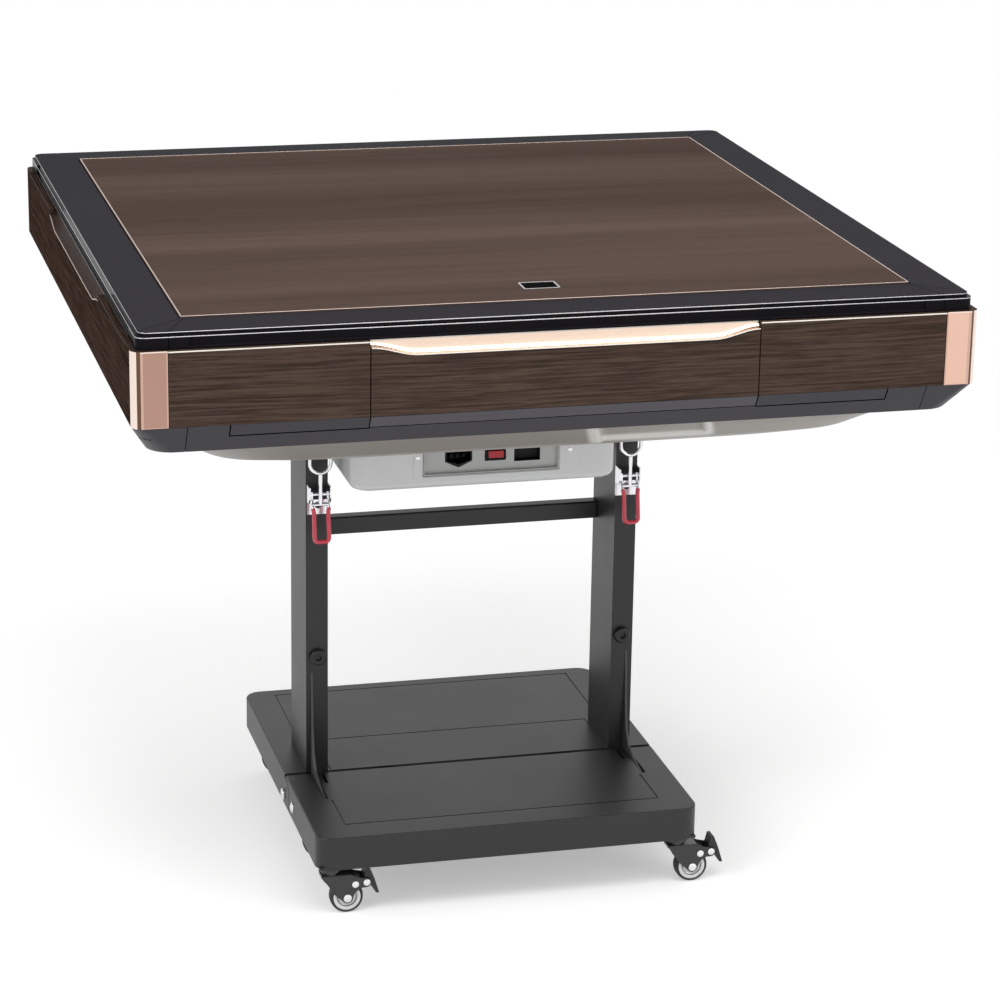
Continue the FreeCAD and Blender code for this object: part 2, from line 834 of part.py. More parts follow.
def leg(side, sign):
    body = new_body(side + "_leg_body")
    near, far = ("-leg_outer", "-leg_inner") if sign < 0 else ("leg_inner", "leg_outer")
    tube = [
        ("leg_front", "tray_top"),
        ("leg_back", "tray_top"),
        ("leg_back", "leg_top - leg_slope_drop"),
        ("leg_slope_y", "leg_top"),
        ("leg_front", "leg_top"),
    ]
    slab(body, "tube", "YZ", tube, near, far)
    block(body, "hollow", (near + " + leg_wall", far + " - leg_wall"),
          ("leg_front + leg_wall", "leg_back - leg_wall"),
          ("tray_top", "leg_top - leg_slope_drop - leg_cap"), cut=True)
    disc(body, "pivot_bore", "YZ", ("tilt_y", "tilt_z"), "tilt_hole_radius", near, far, cut=True)
    bolt_x = "-leg_bolt_x" if sign < 0 else "leg_bolt_x"
    disc(body, "bolt_bore", "XZ", (bolt_x, "leg_bolt_z"), "bolt_hole_radius",
         "leg_front", "leg_front + leg_wall", cut=True)
    keep(body, "leg_" + side)


def cross_rail():
    body = new_body("cross_rail_body")
    bar = [
        ("rail_front", "rail_low"),
        ("leg_back", "rail_low"),
        ("leg_back", "rail_high"),
        ("rail_front", "rail_high", "rail_edge"),
    ]
    slab(body, "bar", "YZ", bar, "-leg_inner", "leg_inner")
    keep(body, "cross_rail")


def leg_braces():
    body = new_body("left_brace")
    blade = [
        ("leg_front", "tray_top"),
        ("leg_front", "brace_high"),
        ("brace_knee_y", "brace_knee_z"),
        ("brace_bend_y", "brace_bend_z"),
        ("brace_heel_y", "brace_heel_z"),
        ("brace_toe_y", "brace_toe_z"),
        ("brace_tip", "brace_end_z"),
        ("brace_tip", "brace_low"),
        ("tongue_front - channel_wall", "channel_top + channel_wall"),
        ("deck_front - channel_wall", "channel_top + channel_wall"),
        ("deck_front - channel_wall", "tray_top"),
    ]
    slab(body, "blade", "YZ", blade, "-brace_far", "-brace_near")
    keep(group("brace_pair", [body, mirror("right_brace", body, ACROSS)]), "leg_braces")


def leg_bolts():
    body = new_body("left_leg_bolt")
    middle = ("-leg_bolt_x", "leg_bolt_z")
    disc(body, "head", "XZ", middle, "leg_bolt_radius", "leg_front - leg_bolt_depth", "leg_front")
    soften(body, "crown", lambda e: lies_at(e, "y", number("leg_front - leg_bolt_depth")),
           "leg_bolt_edge")
    disc(body, "shank", "XZ", middle, "bolt_shank_radius", "leg_front", "leg_front + leg_wall")
    half = "hex_flat*tan(30)"
    corner = "hex_flat/cos(30)"
    shape = [
        ("-leg_bolt_x + %s" % corner, "leg_bolt_z"),
        ("-leg_bolt_x + %s" % half, "leg_bolt_z + hex_flat"),
        ("-leg_bolt_x - %s" % half, "leg_bolt_z + hex_flat"),
        ("-leg_bolt_x - %s" % corner, "leg_bolt_z"),
        ("-leg_bolt_x - %s" % half, "leg_bolt_z - hex_flat"),
        ("-leg_bolt_x + %s" % half, "leg_bolt_z - hex_flat"),
    ]
    front = "leg_front - leg_bolt_depth"
    slab(body, "hex_socket", "XZ", shape, front, front + " + hex_depth", cut=True)
    keep(group("leg_bolt_pair", [body, mirror("right_leg_bolt", body, ACROSS)]), "leg_bolts")


def base_bolts():
    body = new_body("left_base_bolt")
    middle = ("base_bolt_y", "base_bolt_z")
    disc(body, "head", "YZ", middle, "base_bolt_radius", "-tray_half - base_bolt_depth",
         "-tray_half")
    soften(body, "crown", lambda e: lies_at(e, "x", number("-tray_half - base_bolt_depth")),
           "base_bolt_edge")
    disc(body, "shank", "YZ", middle, "bolt_shank_radius", "-tray_half",
         "-tray_half + sheet_thick")
    keep(group("base_bolt_pair", [body, mirror("right_base_bolt", body, ACROSS)]), "base_bolts")


# Swivel casters


def caster_fork(name, x, y, braked):
    body = new_body(name + "_body")
    back = "fork_back_braked" if braked else "fork_back"
    disc(body, "neck", "XY", (x, y), "neck_radius", "neck_low", "tray_low")
    disc(body, "race", "XY", (x, y), "neck_ball_radius", "fork_top", "neck_low")
    across = (y + " - cheek_outside", y + " + cheek_outside")
    block(body, "roof", (x + " - fork_front", x + " + fork_back"), across,
          ("fork_top - fork_roof", "fork_top"))
    tip = "wheel_radius - fork_tip"
    if braked:
        cheek = [
            (x + " - fork_front", "fork_top"),
            (x + " - fork_front", "fork_top - cheek_drop/2"),
            (x + " + trail - fork_tip", "wheel_radius"),
            (x + " + trail - fork_tip", tip),
            (x + " + trail + fork_tip", tip),
            (x + " + trail + fork_tip", "fork_top - cheek_drop - fork_roof"),
            (x + " + " + back, "pedal_axis_z - pedal_eye - fork_roof/2"),
            (x + " + " + back, "pedal_axis_z + pedal_eye"),
            (x + " + fork_back", "fork_top"),
        ]
    else:
        cheek = [
            (x + " - fork_front", "fork_top"),
            (x + " - fork_front", "fork_top - cheek_drop/2"),
            (x + " + trail - fork_tip", "wheel_radius"),
            (x + " + trail - fork_tip", tip),
            (x + " + trail + fork_tip", tip),
            (x + " + trail + fork_tip", "fork_top - cheek_drop"),
            (x + " + fork_back", "fork_top - cheek_drop/2"),
            (x + " + fork_back", "fork_top"),
        ]
    slab(body, "front_cheek", "XZ", cheek, y + " - cheek_outside", y + " - cheek_inside")
    slab(body, "back_cheek", "XZ", cheek, y + " + cheek_inside", y + " + cheek_outside")
    axle = (x + " + trail", "wheel_radius")
    disc(body, "axle", "XZ", axle, "axle_radius", y + " - axle_reach", y + " + axle_reach")
    disc(body, "axle_head", "XZ", axle, "axle_head_radius",
         y + " - cheek_outside - axle_head_depth", y + " - cheek_outside")
    if braked:
        pin = (x + " + pedal_axis_x", "pedal_axis_z")
        disc(body, "pedal_pin", "XZ", pin, "pedal_pin_radius",
             y + " - cheek_outside - axle_head_depth", y + " + cheek_outside")
    keep(body, name)


def caster_wheel(name, x, y):
    body = new_body(name + "_body")
    middle = (x + " + trail", "wheel_radius")
    near = y + " - wheel_width/2"
    far = y + " + wheel_width/2"
    disc(body, "tyre", "XZ", middle, "wheel_radius", near, far)
    soften(body, "shoulders", lambda e: len(e.Vertexes) == 1, "wheel_edge")
    disc(body, "front_dish", "XZ", middle, "hub_radius", near, near + " + hub_dish", cut=True)
    disc(body, "back_dish", "XZ", middle, "hub_radius", far + " - hub_dish", far, cut=True)
    disc(body, "bore", "XZ", middle, "bore_radius", near, far, cut=True)
    keep(body, name)


def brake_pedal(name, x, y):
    body = new_body(name + "_body")
    side = (x + " + pedal_axis_x", "pedal_axis_z")
    low = y + " - pedal_half"
    high = y + " + pedal_half"
    flap = [
        (x + " + pedal_axis_x", "pedal_top_z"),
        (x + " + pedal_axis_x + pedal_thick", "pedal_top_z"),
        (x + " + pedal_axis_x + 2*pedal_eye", "pedal_axis_z + pedal_eye"),
        (x + " + pedal_toe_x", "pedal_toe_z"),
        (x + " + pedal_toe_x - pedal_thick", "pedal_toe_z"),
        (x + " + pedal_axis_x + pedal_eye", "pedal_axis_z - pedal_thick"),
        (x + " + pedal_axis_x - pedal_thick", "pedal_axis_z - pedal_thick"),
        (x + " + pedal_axis_x - pedal_thick", "pedal_axis_z + pedal_thick"),
    ]
    slab(body, "flap", "XZ", flap, low, high)
    disc(body, "bore", "XZ", side, "pedal_pin_radius + pedal_play", low, high, cut=True)
    keep(body, name)


CASTERS = (
    ("front_left", "-stem_x", "stem_y_front", True),
    ("front_right", "stem_x", "stem_y_front", True),
    ("middle_left", "-stem_x", "stem_y_middle", False),
    ("middle_right", "stem_x", "stem_y_middle", False),
    ("rear_left", "-stem_x", "stem_y_rear", False),
    ("rear_right", "stem_x", "stem_y_rear", False),
)


# Toggle latch: base, lever and bail; the right one mirrors the left one


def latch_base():
    body = new_body("left_latch_base")
    middle = "-latch_x"
    plate = [
        (middle + " - latch_plate_half", "latch_low"),
        (middle + " + latch_plate_half", "latch_low"),
        (middle + " + latch_plate_half", "latch_high"),
        (middle + " - latch_plate_half", "latch_high"),
    ]
    slab(body, "plate", "XZ", plate, "leg_front - latch_plate_thick", "leg_front")
    cheek = [
        ("leg_front", "latch_cheek_low"),
        ("leg_front", "latch_high"),
        ("latch_cheek_front", "latch_high"),
        ("latch_cheek_front", "lever_z - lever_eye"),
        ("lever_y", "latch_cheek_low"),
    ]
    slab(body, "outer_cheek", "YZ", cheek, middle + " - cheek_far", middle + " - cheek_near")
    slab(body, "inner_cheek", "YZ", cheek, middle + " + cheek_near", middle + " + cheek_far")
    disc(body, "lever_pin", "YZ", ("lever_y", "lever_z"), "lever_pin_radius",
         middle + " - cheek_far", middle + " + cheek_far")
    disc(body, "screw_head", "XZ", (middle, "latch_screw_z"), "latch_screw_radius",
         "leg_front - latch_plate_thick - latch_screw_depth", "leg_front - latch_plate_thick")
    keep(group("latch_base_pair", [body, mirror("right_latch_base", body, ACROSS)]),
         "latch_bases")


def latch_lever():
    body = new_body("left_latch_lever")
    middle = "-latch_x"
    arm = [
        ("lever_y + lever_eye", "lever_z + lever_eye"),
        ("bail_y - lever_eye", "lever_z + lever_eye"),
        ("bail_y - lever_eye", "bail_z - lever_eye"),
        ("grip_y - grip_thick/2", "grip_low"),
        ("grip_y + grip_thick/2", "grip_low"),
        ("lever_y + lever_eye", "bail_z - lever_eye"),
    ]
    slab(body, "outer_arm", "YZ", arm, middle + " - lever_far", middle + " - lever_near")
    slab(body, "inner_arm", "YZ", arm, middle + " + lever_near", middle + " + lever_far")
    bar = [
        ("grip_y - grip_thick/2", "grip_low"),
        ("grip_y + grip_thick/2", "grip_low"),
        ("grip_y + grip_thick/2", "grip_low + grip_thick"),
        ("grip_y - grip_thick/2", "grip_low + grip_thick"),
    ]
    slab(body, "grip_bar", "YZ", bar, middle + " - lever_far", middle + " + lever_far")
    disc(body, "pivot_bore", "YZ", ("lever_y", "lever_z"), "lever_hole_radius",
         middle + " - lever_far", middle + " + lever_far", cut=True)
    disc(body, "bail_bore", "YZ", ("bail_y", "bail_z"), "bail_hole_radius",
         middle + " - lever_far", middle + " + lever_far", cut=True)
    keep(body, "latch_lever_left")
    keep(mirror("right_latch_lever", body, ACROSS), "latch_lever_right")


def latch_bail():
    body = new_body("left_latch_bail")
    middle = "-latch_x"
    near = "bail_y - bail_wire"
    far = "bail_y + bail_wire"
    ring = [
        (middle + " - bail_ring_half", "bail_fork_z", "bail_round"),
        (middle + " + bail_ring_half", "bail_fork_z", "bail_round"),
        (middle + " + bail_ring_half", "bail_ring_top", "bail_round"),
        (middle + " - bail_ring_half", "bail_ring_top", "bail_round"),
    ]
    slab(body, "ring", "XZ", ring, near, far)
    wire = "(bail_ring_half - bail_ring_inner)"
    eye = [
        (middle + " - bail_ring_inner", "bail_fork_z + %s" % wire, "bail_inner_round"),
        (middle + " + bail_ring_inner", "bail_fork_z + %s" % wire, "bail_inner_round"),
        (middle + " + bail_ring_inner", "bail_ring_top - %s" % wire, "bail_inner_round"),
        (middle + " - bail_ring_inner", "bail_ring_top - %s" % wire, "bail_inner_round"),
    ]
    slab(body, "eye", "XZ", eye, near, far, cut=True)
    stem = [
        (middle + " - bail_stem_half", "bail_z"),
        (middle + " + bail_stem_half", "bail_z"),
        (middle + " + bail_stem_half", "bail_fork_z + %s" % wire),
        (middle + " - bail_stem_half", "bail_fork_z + %s" % wire),
    ]
    slab(body, "stem", "XZ", stem, near, far)
    disc(body, "cross_bar", "YZ", ("bail_y", "bail_z"), "bail_bar_radius",
         middle + " - bail_bar_half", middle + " + bail_bar_half")
    keep(body, "latch_bail_left")
    keep(mirror("right_latch_bail", body, ACROSS), "latch_bail_right")


def latch_catches():
    body = new_body("left_catch")
    middle = "-latch_x"
    x = (middle + " - catch_half", middle + " + catch_half")
    hook = [
        ("catch_far", "belly_low"),
        ("catch_far", "catch_low"),
        ("catch_near - catch_lip", "catch_low"),
        ("catch_near - catch_lip", "catch_lip_high"),
        ("catch_near", "catch_lip_high"),
        ("catch_near", "belly_low - catch_foot_thick"),
        ("catch_foot", "belly_low - catch_foot_thick"),
        ("catch_foot", "belly_low"),
    ]
    slab(body, "hook", "YZ", hook, x[0], x[1])
    keep(group("catch_pair", [body, mirror("right_catch", body, ACROSS)]), "latch_catches")


# Tilt pivot


def tilt_pins():
    body = new_body("left_tilt_pin")
    middle = ("tilt_y", "tilt_z")
    outside = "-leg_outer - 2*ear_gap - ear_thick"
    disc(body, "shaft", "YZ", middle, "tilt_pin_radius", outside, "-leg_inner")
    disc(body, "head", "YZ", middle, "tilt_head_radius", outside + " - tilt_head_depth", outside)
    keep(group("tilt_pin_pair", [body, mirror("right_tilt_pin", body, ACROSS)]), "tilt_pins")


def tilt_brackets():
    body = new_body("left_ear")
    near = "-leg_outer - ear_gap - ear_thick"
    far = "-leg_outer - ear_gap"
    ear = [
        ("tilt_y - ear_half", "tilt_z - ear_half", "ear_half/2"),
        ("tilt_y + ear_half", "tilt_z - ear_half", "ear_half/2"),
        ("tilt_y + ear_half", "belly_low"),
        ("tilt_y - ear_half", "belly_low"),
    ]
    slab(body, "ear", "YZ", ear, near, far)
    block(body, "foot", (near + " - ear_foot", near), ("tilt_y - ear_half", "tilt_y + ear_half"),
          ("belly_low - ear_foot_thick", "belly_low"))
    disc(body, "bore", "YZ", ("tilt_y", "tilt_z"), "tilt_hole_radius", near, far, cut=True)
    keep(group("ear_pair", [body, mirror("right_ear", body, ACROSS)]), "tilt_brackets")


# Rim round the playing field, cut into rails and corner blocks


def rim():
    body = new_body("rim_ring")
    slab(body, "face", "XY", frame_corners("rim_half", "rim_round"), "rim_low", "rim_face_top")
    slab(body, "edge", "XY", frame_corners("rim_edge_half", "rim_round"), "rim_face_top",
         "rim_edge_top")
    loft(body, "crown", [
        ("rim_edge_half", "rim_round", "rim_edge_top"),
        ("rim_inner", "rim_edge_top - rim_face_top", "rim_crown"),
    ])
    square = [("-rim_ledge", "-rim_ledge"), ("rim_ledge", "-rim_ledge"),
              ("rim_ledge", "rim_ledge"), ("-rim_ledge", "rim_ledge")]
    slab(body, "opening", "XY", square, "rim_low", "rim_crown", cut=True)
    square = [("-rim_inner", "-rim_inner"), ("rim_inner", "-rim_inner"),
              ("rim_inner", "rim_inner"), ("-rim_inner", "rim_inner")]
    slab(body, "cover_seat", "XY", square, "rim_ledge_top", "rim_crown", cut=True)
    band = ("-rim_band_half", "rim_band_half")
    levels = ("rim_band_low", "rim_face_top")
    front = ("-rim_half", "-rim_edge_half")
    back = ("rim_edge_half", "rim_half")
    block(body, "front_band", band, front, levels, cut=True)
    block(body, "back_band", band, back, levels, cut=True)
    block(body, "left_band", front, band, levels, cut=True)
    block(body, "right_band", back, band, levels, cut=True)
    tall = ("rim_low", "rim_crown")
    cutter = new_body("front_rail_room")
    slab(cutter, "room", "XY", [
        ("-seam_x", "-rim_half"),
        ("seam_x", "-rim_half"),
        ("seam_x", "-seam_y"),
        ("seam_top_x", "-rim_inner"),
        ("rim_ledge", "-rim_ledge"),
        ("-rim_ledge", "-rim_ledge"),
        ("-seam_top_x", "-rim_inner"),
        ("-seam_x", "-seam_y"),
    ], *tall)
    front_rail = overlap("front_rail", body, cutter)
    back_rail = mirror("back_rail", front_rail, ALONG)
    cutter = new_body("left_rail_room")
    slab(cutter, "room", "XY", [
        ("-rim_half", "-side_seam_y"),
        ("-side_seam_x", "-side_seam_y"),
        ("-rim_inner", "-side_seam_top"),
        ("-rim_ledge", "-rim_ledge - joint_gap"),
        ("-rim_ledge", "rim_ledge + joint_gap"),
        ("-rim_inner", "side_seam_top"),
        ("-side_seam_x", "side_seam_y"),
        ("-rim_half", "side_seam_y"),
    ], *tall)
    left_rail = overlap("left_rail", body, cutter)
    right_rail = mirror("right_rail", left_rail, ACROSS)
    keep(group("rails", [front_rail, back_rail, left_rail, right_rail]), "rim_rails")
    cutter = new_body("corner_room")
    slab(cutter, "room", "XY", [
        ("-seam_x - joint_gap", "-rim_half"),
        ("-rim_half", "-rim_half"),
        ("-rim_half", "-side_seam_y - joint_gap"),
        ("-side_seam_x", "-side_seam_y - joint_gap"),
        ("-rim_inner", "-side_seam_top - joint_gap"),
        ("-rim_ledge - 3*joint_gap", "-rim_ledge - 6*joint_gap"),
        ("-seam_top_x - joint_gap", "-rim_inner - joint_gap"),
        ("-seam_x - joint_gap", "-seam_y"),
    ], *tall)
    first = overlap("corner_front_left", body, cutter)
    second = mirror("corner_front_right", first, ACROSS)
    third = mirror("corner_back_left", first, ALONG)
    fourth = mirror("corner_back_right", second, ALONG)
    keep(group("rim_corner_set", [first, second, third, fourth]), "rim_corners")


# Apron boards either side of each drawer, and the metal corner posts


def apron_panels():
    inner = "apron_half - apron_thick"
    near = "drawer_half + drawer_gap"
    pieces = []
    body = new_body("front_board")
    block(body, "board", ("-apron_half + post_flange + joint_gap", "-(%s)" % near),
          ("-apron_half", "-(%s)" % inner), ("apron_low", "apron_high"))
    right = mirror("front_board_right", body, ACROSS)
    pieces += [body, right, mirror("back_board", body, ALONG),
               mirror("back_board_right", right, ALONG)]
    body = new_body("side_board")
    block(body, "board", ("-apron_half", "-(%s)" % inner),
          ("-(%s) + joint_gap" % inner, "-(%s)" % near), ("apron_low", "apron_high"))
    back = mirror("side_board_back", body, ALONG)
    pieces += [body, back, mirror("side_board_right", body, ACROSS),
               mirror("side_board_right_back", back, ACROSS)]
    keep(group("apron_boards", pieces), "apron_panels")


def corner_posts():
    body = new_body("post_front_left")
    inner = "-apron_half + apron_thick"
    corners = [
        ("-apron_half", "-apron_half", "post_round"),
        ("-apron_half + post_flange", "-apron_half"),
        ("-apron_half + post_flange", inner),
        ("-apron_half", inner),
    ]
    slab(body, "post", "XY", corners, "apron_low", "rim_low")
    right = mirror("post_front_right", body, ACROSS)
    keep(group("posts", [body, right, mirror("post_back_left", body, ALONG),
                         mirror("post_back_right", right, ALONG)]), "corner_posts")


# Chamfered skirt under the apron


def skirt():
    body = new_body("skirt_ring")
    loft(body, "outside", [
        ("skirt_half", "skirt_round_low", "skirt_low"),
        ("apron_half", "skirt_round_high", "apron_low"),
    ])
    slope = "(apron_half - skirt_half)/(apron_low - skirt_low)"
    low_half = "skirt_half + (skirt_floor - skirt_low)*%s - skirt_thick" % slope
    loft(body, "inside", [
        (low_half, "skirt_round_low - skirt_thick", "skirt_floor"),
        ("apron_half - skirt_thick", "skirt_round_high - skirt_thick", "apron_low"),
    ], cut=True)
    square = [("-skirt_flange", "-skirt_flange"), ("skirt_flange", "-skirt_flange"),
              ("skirt_flange", "skirt_flange"), ("-skirt_flange", "skirt_flange")]
    slab(body, "opening", "XY", square, "skirt_low", "skirt_floor", cut=True)
    block(body, "door", ("-drawer_half - drawer_gap", "drawer_half + drawer_gap"),
          ("-apron_half", "-skirt_flange"), ("strip_low", "apron_low"), cut=True)
    at_line = "skirt_half + (strip_low - skirt_low)*%s - strip_line_depth" % slope
    strip_end = [
        ("-apron_half", "strip_low - strip_line"),
        ("-apron_half", "apron_low"),
        ("-apron_half + strip_line_depth", "apron_low"),
        ("-(%s)" % at_line, "strip_low - strip_line"),
    ]
    for side, near, far in (("left", "-strip_half", "-drawer_half"),
                            ("right", "drawer_half", "strip_half")):
        block(body, side + "_line", (near, far), ("-apron_half", "-(%s)" % at_line),
              ("strip_low - strip_line", "strip_low"), cut=True)
        end = near if side == "left" else far + " - strip_line"
        slab(body, side + "_strip_end", "YZ", strip_end, end, end + " + strip_line", cut=True)
    tall = ("skirt_low", "apron_low")
    cutter = new_body("front_skirt_room")
    block(cutter, "room", ("-skirt_seam", "skirt_seam"), ("-apron_half", "-skirt_flange"), tall)
    front_rail = overlap("front_skirt", body, cutter)
    left_rail = mirror("left_skirt", front_rail, DIAGONAL)
    keep(group("skirt_set", [front_rail, mirror("back_skirt", front_rail, ALONG), left_rail,
                             mirror("right_skirt", left_rail, ACROSS)]), "skirt_rails")
    cutter = new_body("skirt_corner_room")
    seam = "-skirt_seam - joint_gap"
    slab(cutter, "room", "XY", [
        ("-apron_half", "-apron_half"),
        (seam, "-apron_half"),
        (seam, "-skirt_flange + joint_gap"),
        ("-skirt_flange + joint_gap", seam),
        ("-apron_half", seam),
    ], *tall)
    first = overlap("skirt_corner_a", body, cutter)
    second = mirror("skirt_corner_b", first, ACROSS)
    keep(group("skirt_corner_set", [first, second, mirror("skirt_corner_c", first, ALONG),
                                    mirror("skirt_corner_d", second, ALONG)]), "skirt_corners")


# Dished belly pan


def belly_pan():
    body = new_body("belly_body")
    slab(body, "flange", "XY", frame_corners("belly_flange", "skirt_thick"), "belly_flange_low",
         "skirt_floor")
    loft(body, "dish", [
        ("belly_mouth", "belly_mouth_round", "belly_flange_low"),
        ("belly_waist", "belly_waist_round", "belly_waist_z"),
        ("belly_floor", "belly_floor_round", "belly_low"),
    ])
    loft(body, "hollow", [
        ("belly_mouth - belly_wall", "belly_mouth_round", "belly_flange_low"),
        ("belly_waist - belly_wall", "belly_waist_round", "belly_waist_z + belly_wall"),
        ("belly_floor - belly_wall", "belly_floor_round", "belly_low + belly_wall"),
    ], cut=True)
    slab(body, "mouth", "XY", frame_corners("belly_mouth - belly_wall", "belly_mouth_round"),
         "belly_flange_low", "skirt_floor", cut=True)
    keep(body, "belly_pan")


# Welded chassis


def chassis_frame():
    body = new_body("chassis_body")
    slab(body, "ring", "XY", frame_corners("chassis_ring_half", "chassis_ring_round"),
         "skirt_floor", "chassis_ring_top")
    hole = [("-chassis_ring_inner", "-chassis_ring_inner"),
            ("chassis_ring_inner", "-chassis_ring_inner"),
            ("chassis_ring_inner", "chassis_ring_inner"),
            ("-chassis_ring_inner", "chassis_ring_inner")]
    slab(body, "ring_opening", "XY", hole, "skirt_floor", "chassis_ring_top", cut=True)
    for name, near, far in (("left", "-beam_far", "-beam_near"),
                            ("right", "beam_near", "beam_far")):
        block(body, name + "_beam", (near, far), ("-chassis_ring_inner", "chassis_ring_inner"),
              ("skirt_floor", "chassis_ring_top"))
    block(body, "hub_plate", ("-beam_far", "beam_far"), ("-hub_plate_half", "hub_plate_half"),
          ("skirt_floor", "chassis_ring_top"))
    for name, x, y in (("a", -1, -1), ("b", 1, -1), ("c", 1, 1), ("d", -1, 1)):
        across = ("-column_outer", "-chassis_ring_inner") if x < 0 else ("chassis_ring_inner", "column_outer")
        along = ("-column_outer", "-chassis_ring_inner") if y < 0 else ("chassis_ring_inner", "column_outer")
        foot = ("-chassis_ring_half", "-chassis_ring_inner") if x < 0 else ("chassis_ring_inner",
                                                                      "chassis_ring_half")
        foot_along = ("-chassis_ring_half", "-chassis_ring_inner") if y < 0 else (
            "chassis_ring_inner", "chassis_ring_half")
        block(body, "column_foot_" + name, foot, foot_along, ("chassis_ring_top", "apron_low"))
        block(body, "column_" + name, across, along, ("apron_low", "rim_low"))
    outer = [("-column_outer", "-column_outer"), ("column_outer", "-column_outer"),
             ("column_outer", "column_outer"), ("-column_outer", "column_outer")]
    slab(body, "deck_ring", "XY", outer, "deck_ring_low", "board_low")
    hole = [("-deck_ring_inner", "-deck_ring_inner"), ("deck_ring_inner", "-deck_ring_inner"),
            ("deck_ring_inner", "deck_ring_inner"), ("-deck_ring_inner", "deck_ring_inner")]
    slab(body, "deck_opening", "XY", hole, "deck_ring_low", "board_low", cut=True)
    disc(body, "spindle", "XY", ("0", "0"), "spindle_radius", "chassis_ring_top", "spindle_top")
    keep(body, "chassis_frame")


def playing_board():
    body = new_body("board_body")
    square = [("-board_half", "-board_half"), ("board_half", "-board_half"),
              ("board_half", "board_half"), ("-board_half", "board_half")]
    slab(body, "tray", "XY", square, "board_low", "rim_low")
    hole = [("-board_inner", "-board_inner"), ("board_inner", "-board_inner"),
            ("board_inner", "board_inner"), ("-board_inner", "board_inner")]
    slab(body, "field", "XY", hole, "board_top", "rim_low", cut=True)
    disc(body, "console_opening", "XY", ("0", "0"), "console_hole", "board_low", "board_top",
         cut=True)
    depth = ("board_top - lifter_line", "board_top")
    for name, sign in (("low", "-"), ("high", "")):
        ends = ("-lifter_far", "-lifter_near") if sign else ("lifter_near", "lifter_far")
        block(body, "lifter_bed_x_" + name, ("-lifter_half", "lifter_half"), ends, depth, cut=True)
        block(body, "lifter_bed_y_" + name, ends, ("-lifter_half", "lifter_half"), depth, cut=True)
    keep(body, "playing_board")


def shuffle_drum():
    body = new_body("drum_body")
    disc(body, "pan", "XY", ("0", "0"), "drum_radius", "drum_low", "drum_high")
    disc(body, "well", "XY", ("0", "0"), "drum_radius - drum_wall", "drum_low + drum_floor",
         "drum_high", cut=True)
    disc(body, "boss", "XY", ("0", "0"), "drum_boss", "drum_low + drum_floor", "drum_high")
    disc(body, "bore", "XY", ("0", "0"), "drum_bore", "drum_low", "drum_high", cut=True)
    keep(body, "shuffle_drum")


def console():
    body = new_body("console_body")
    disc(body, "dome", "XY", ("0", "0"), "console_radius", "console_low", "console_high")
    soften(body, "shoulder", lambda e: lies_at(e, "z", number("console_high")), "console_edge")
    disc(body, "dice_well", "XY", ("0", "0"), "console_well_radius",
         "console_high - console_well_depth", "console_high", cut=True)
    keep(body, "centre_console")


# Control box under the belly


def control_box():
    body = new_body("box_body")
    outside = [
        ("-box_half", "box_front", "box_round"),
        ("box_half", "box_front", "box_round"),
        ("box_half", "box_back", "box_round/2"),
        ("-box_half", "box_back", "box_round/2"),
    ]
    slab(body, "case", "XY", outside, "box_low", "belly_low")
    soften(body, "bottom_edge", lambda e: lies_at(e, "z", number("box_low")), "box_edge")
    inside = [
        ("-box_half + box_wall", "box_front + box_wall", "box_round - box_wall"),
        ("box_half - box_wall", "box_front + box_wall", "box_round - box_wall"),
        ("box_half - box_wall", "box_back - box_wall", "box_round/2 - box_wall"),
        ("-box_half + box_wall", "box_back - box_wall", "box_round/2 - box_wall"),
    ]
    slab(body, "hollow", "XY", inside, "box_low + box_wall", "belly_low", cut=True)
    window = [("panel_left", "panel_low"), ("panel_right", "panel_low"),
              ("panel_right", "panel_high"), ("panel_left", "panel_high")]
    slab(body, "window", "XZ", window, "box_front", "box_front + box_wall", cut=True)
    keep(body, "control_box")


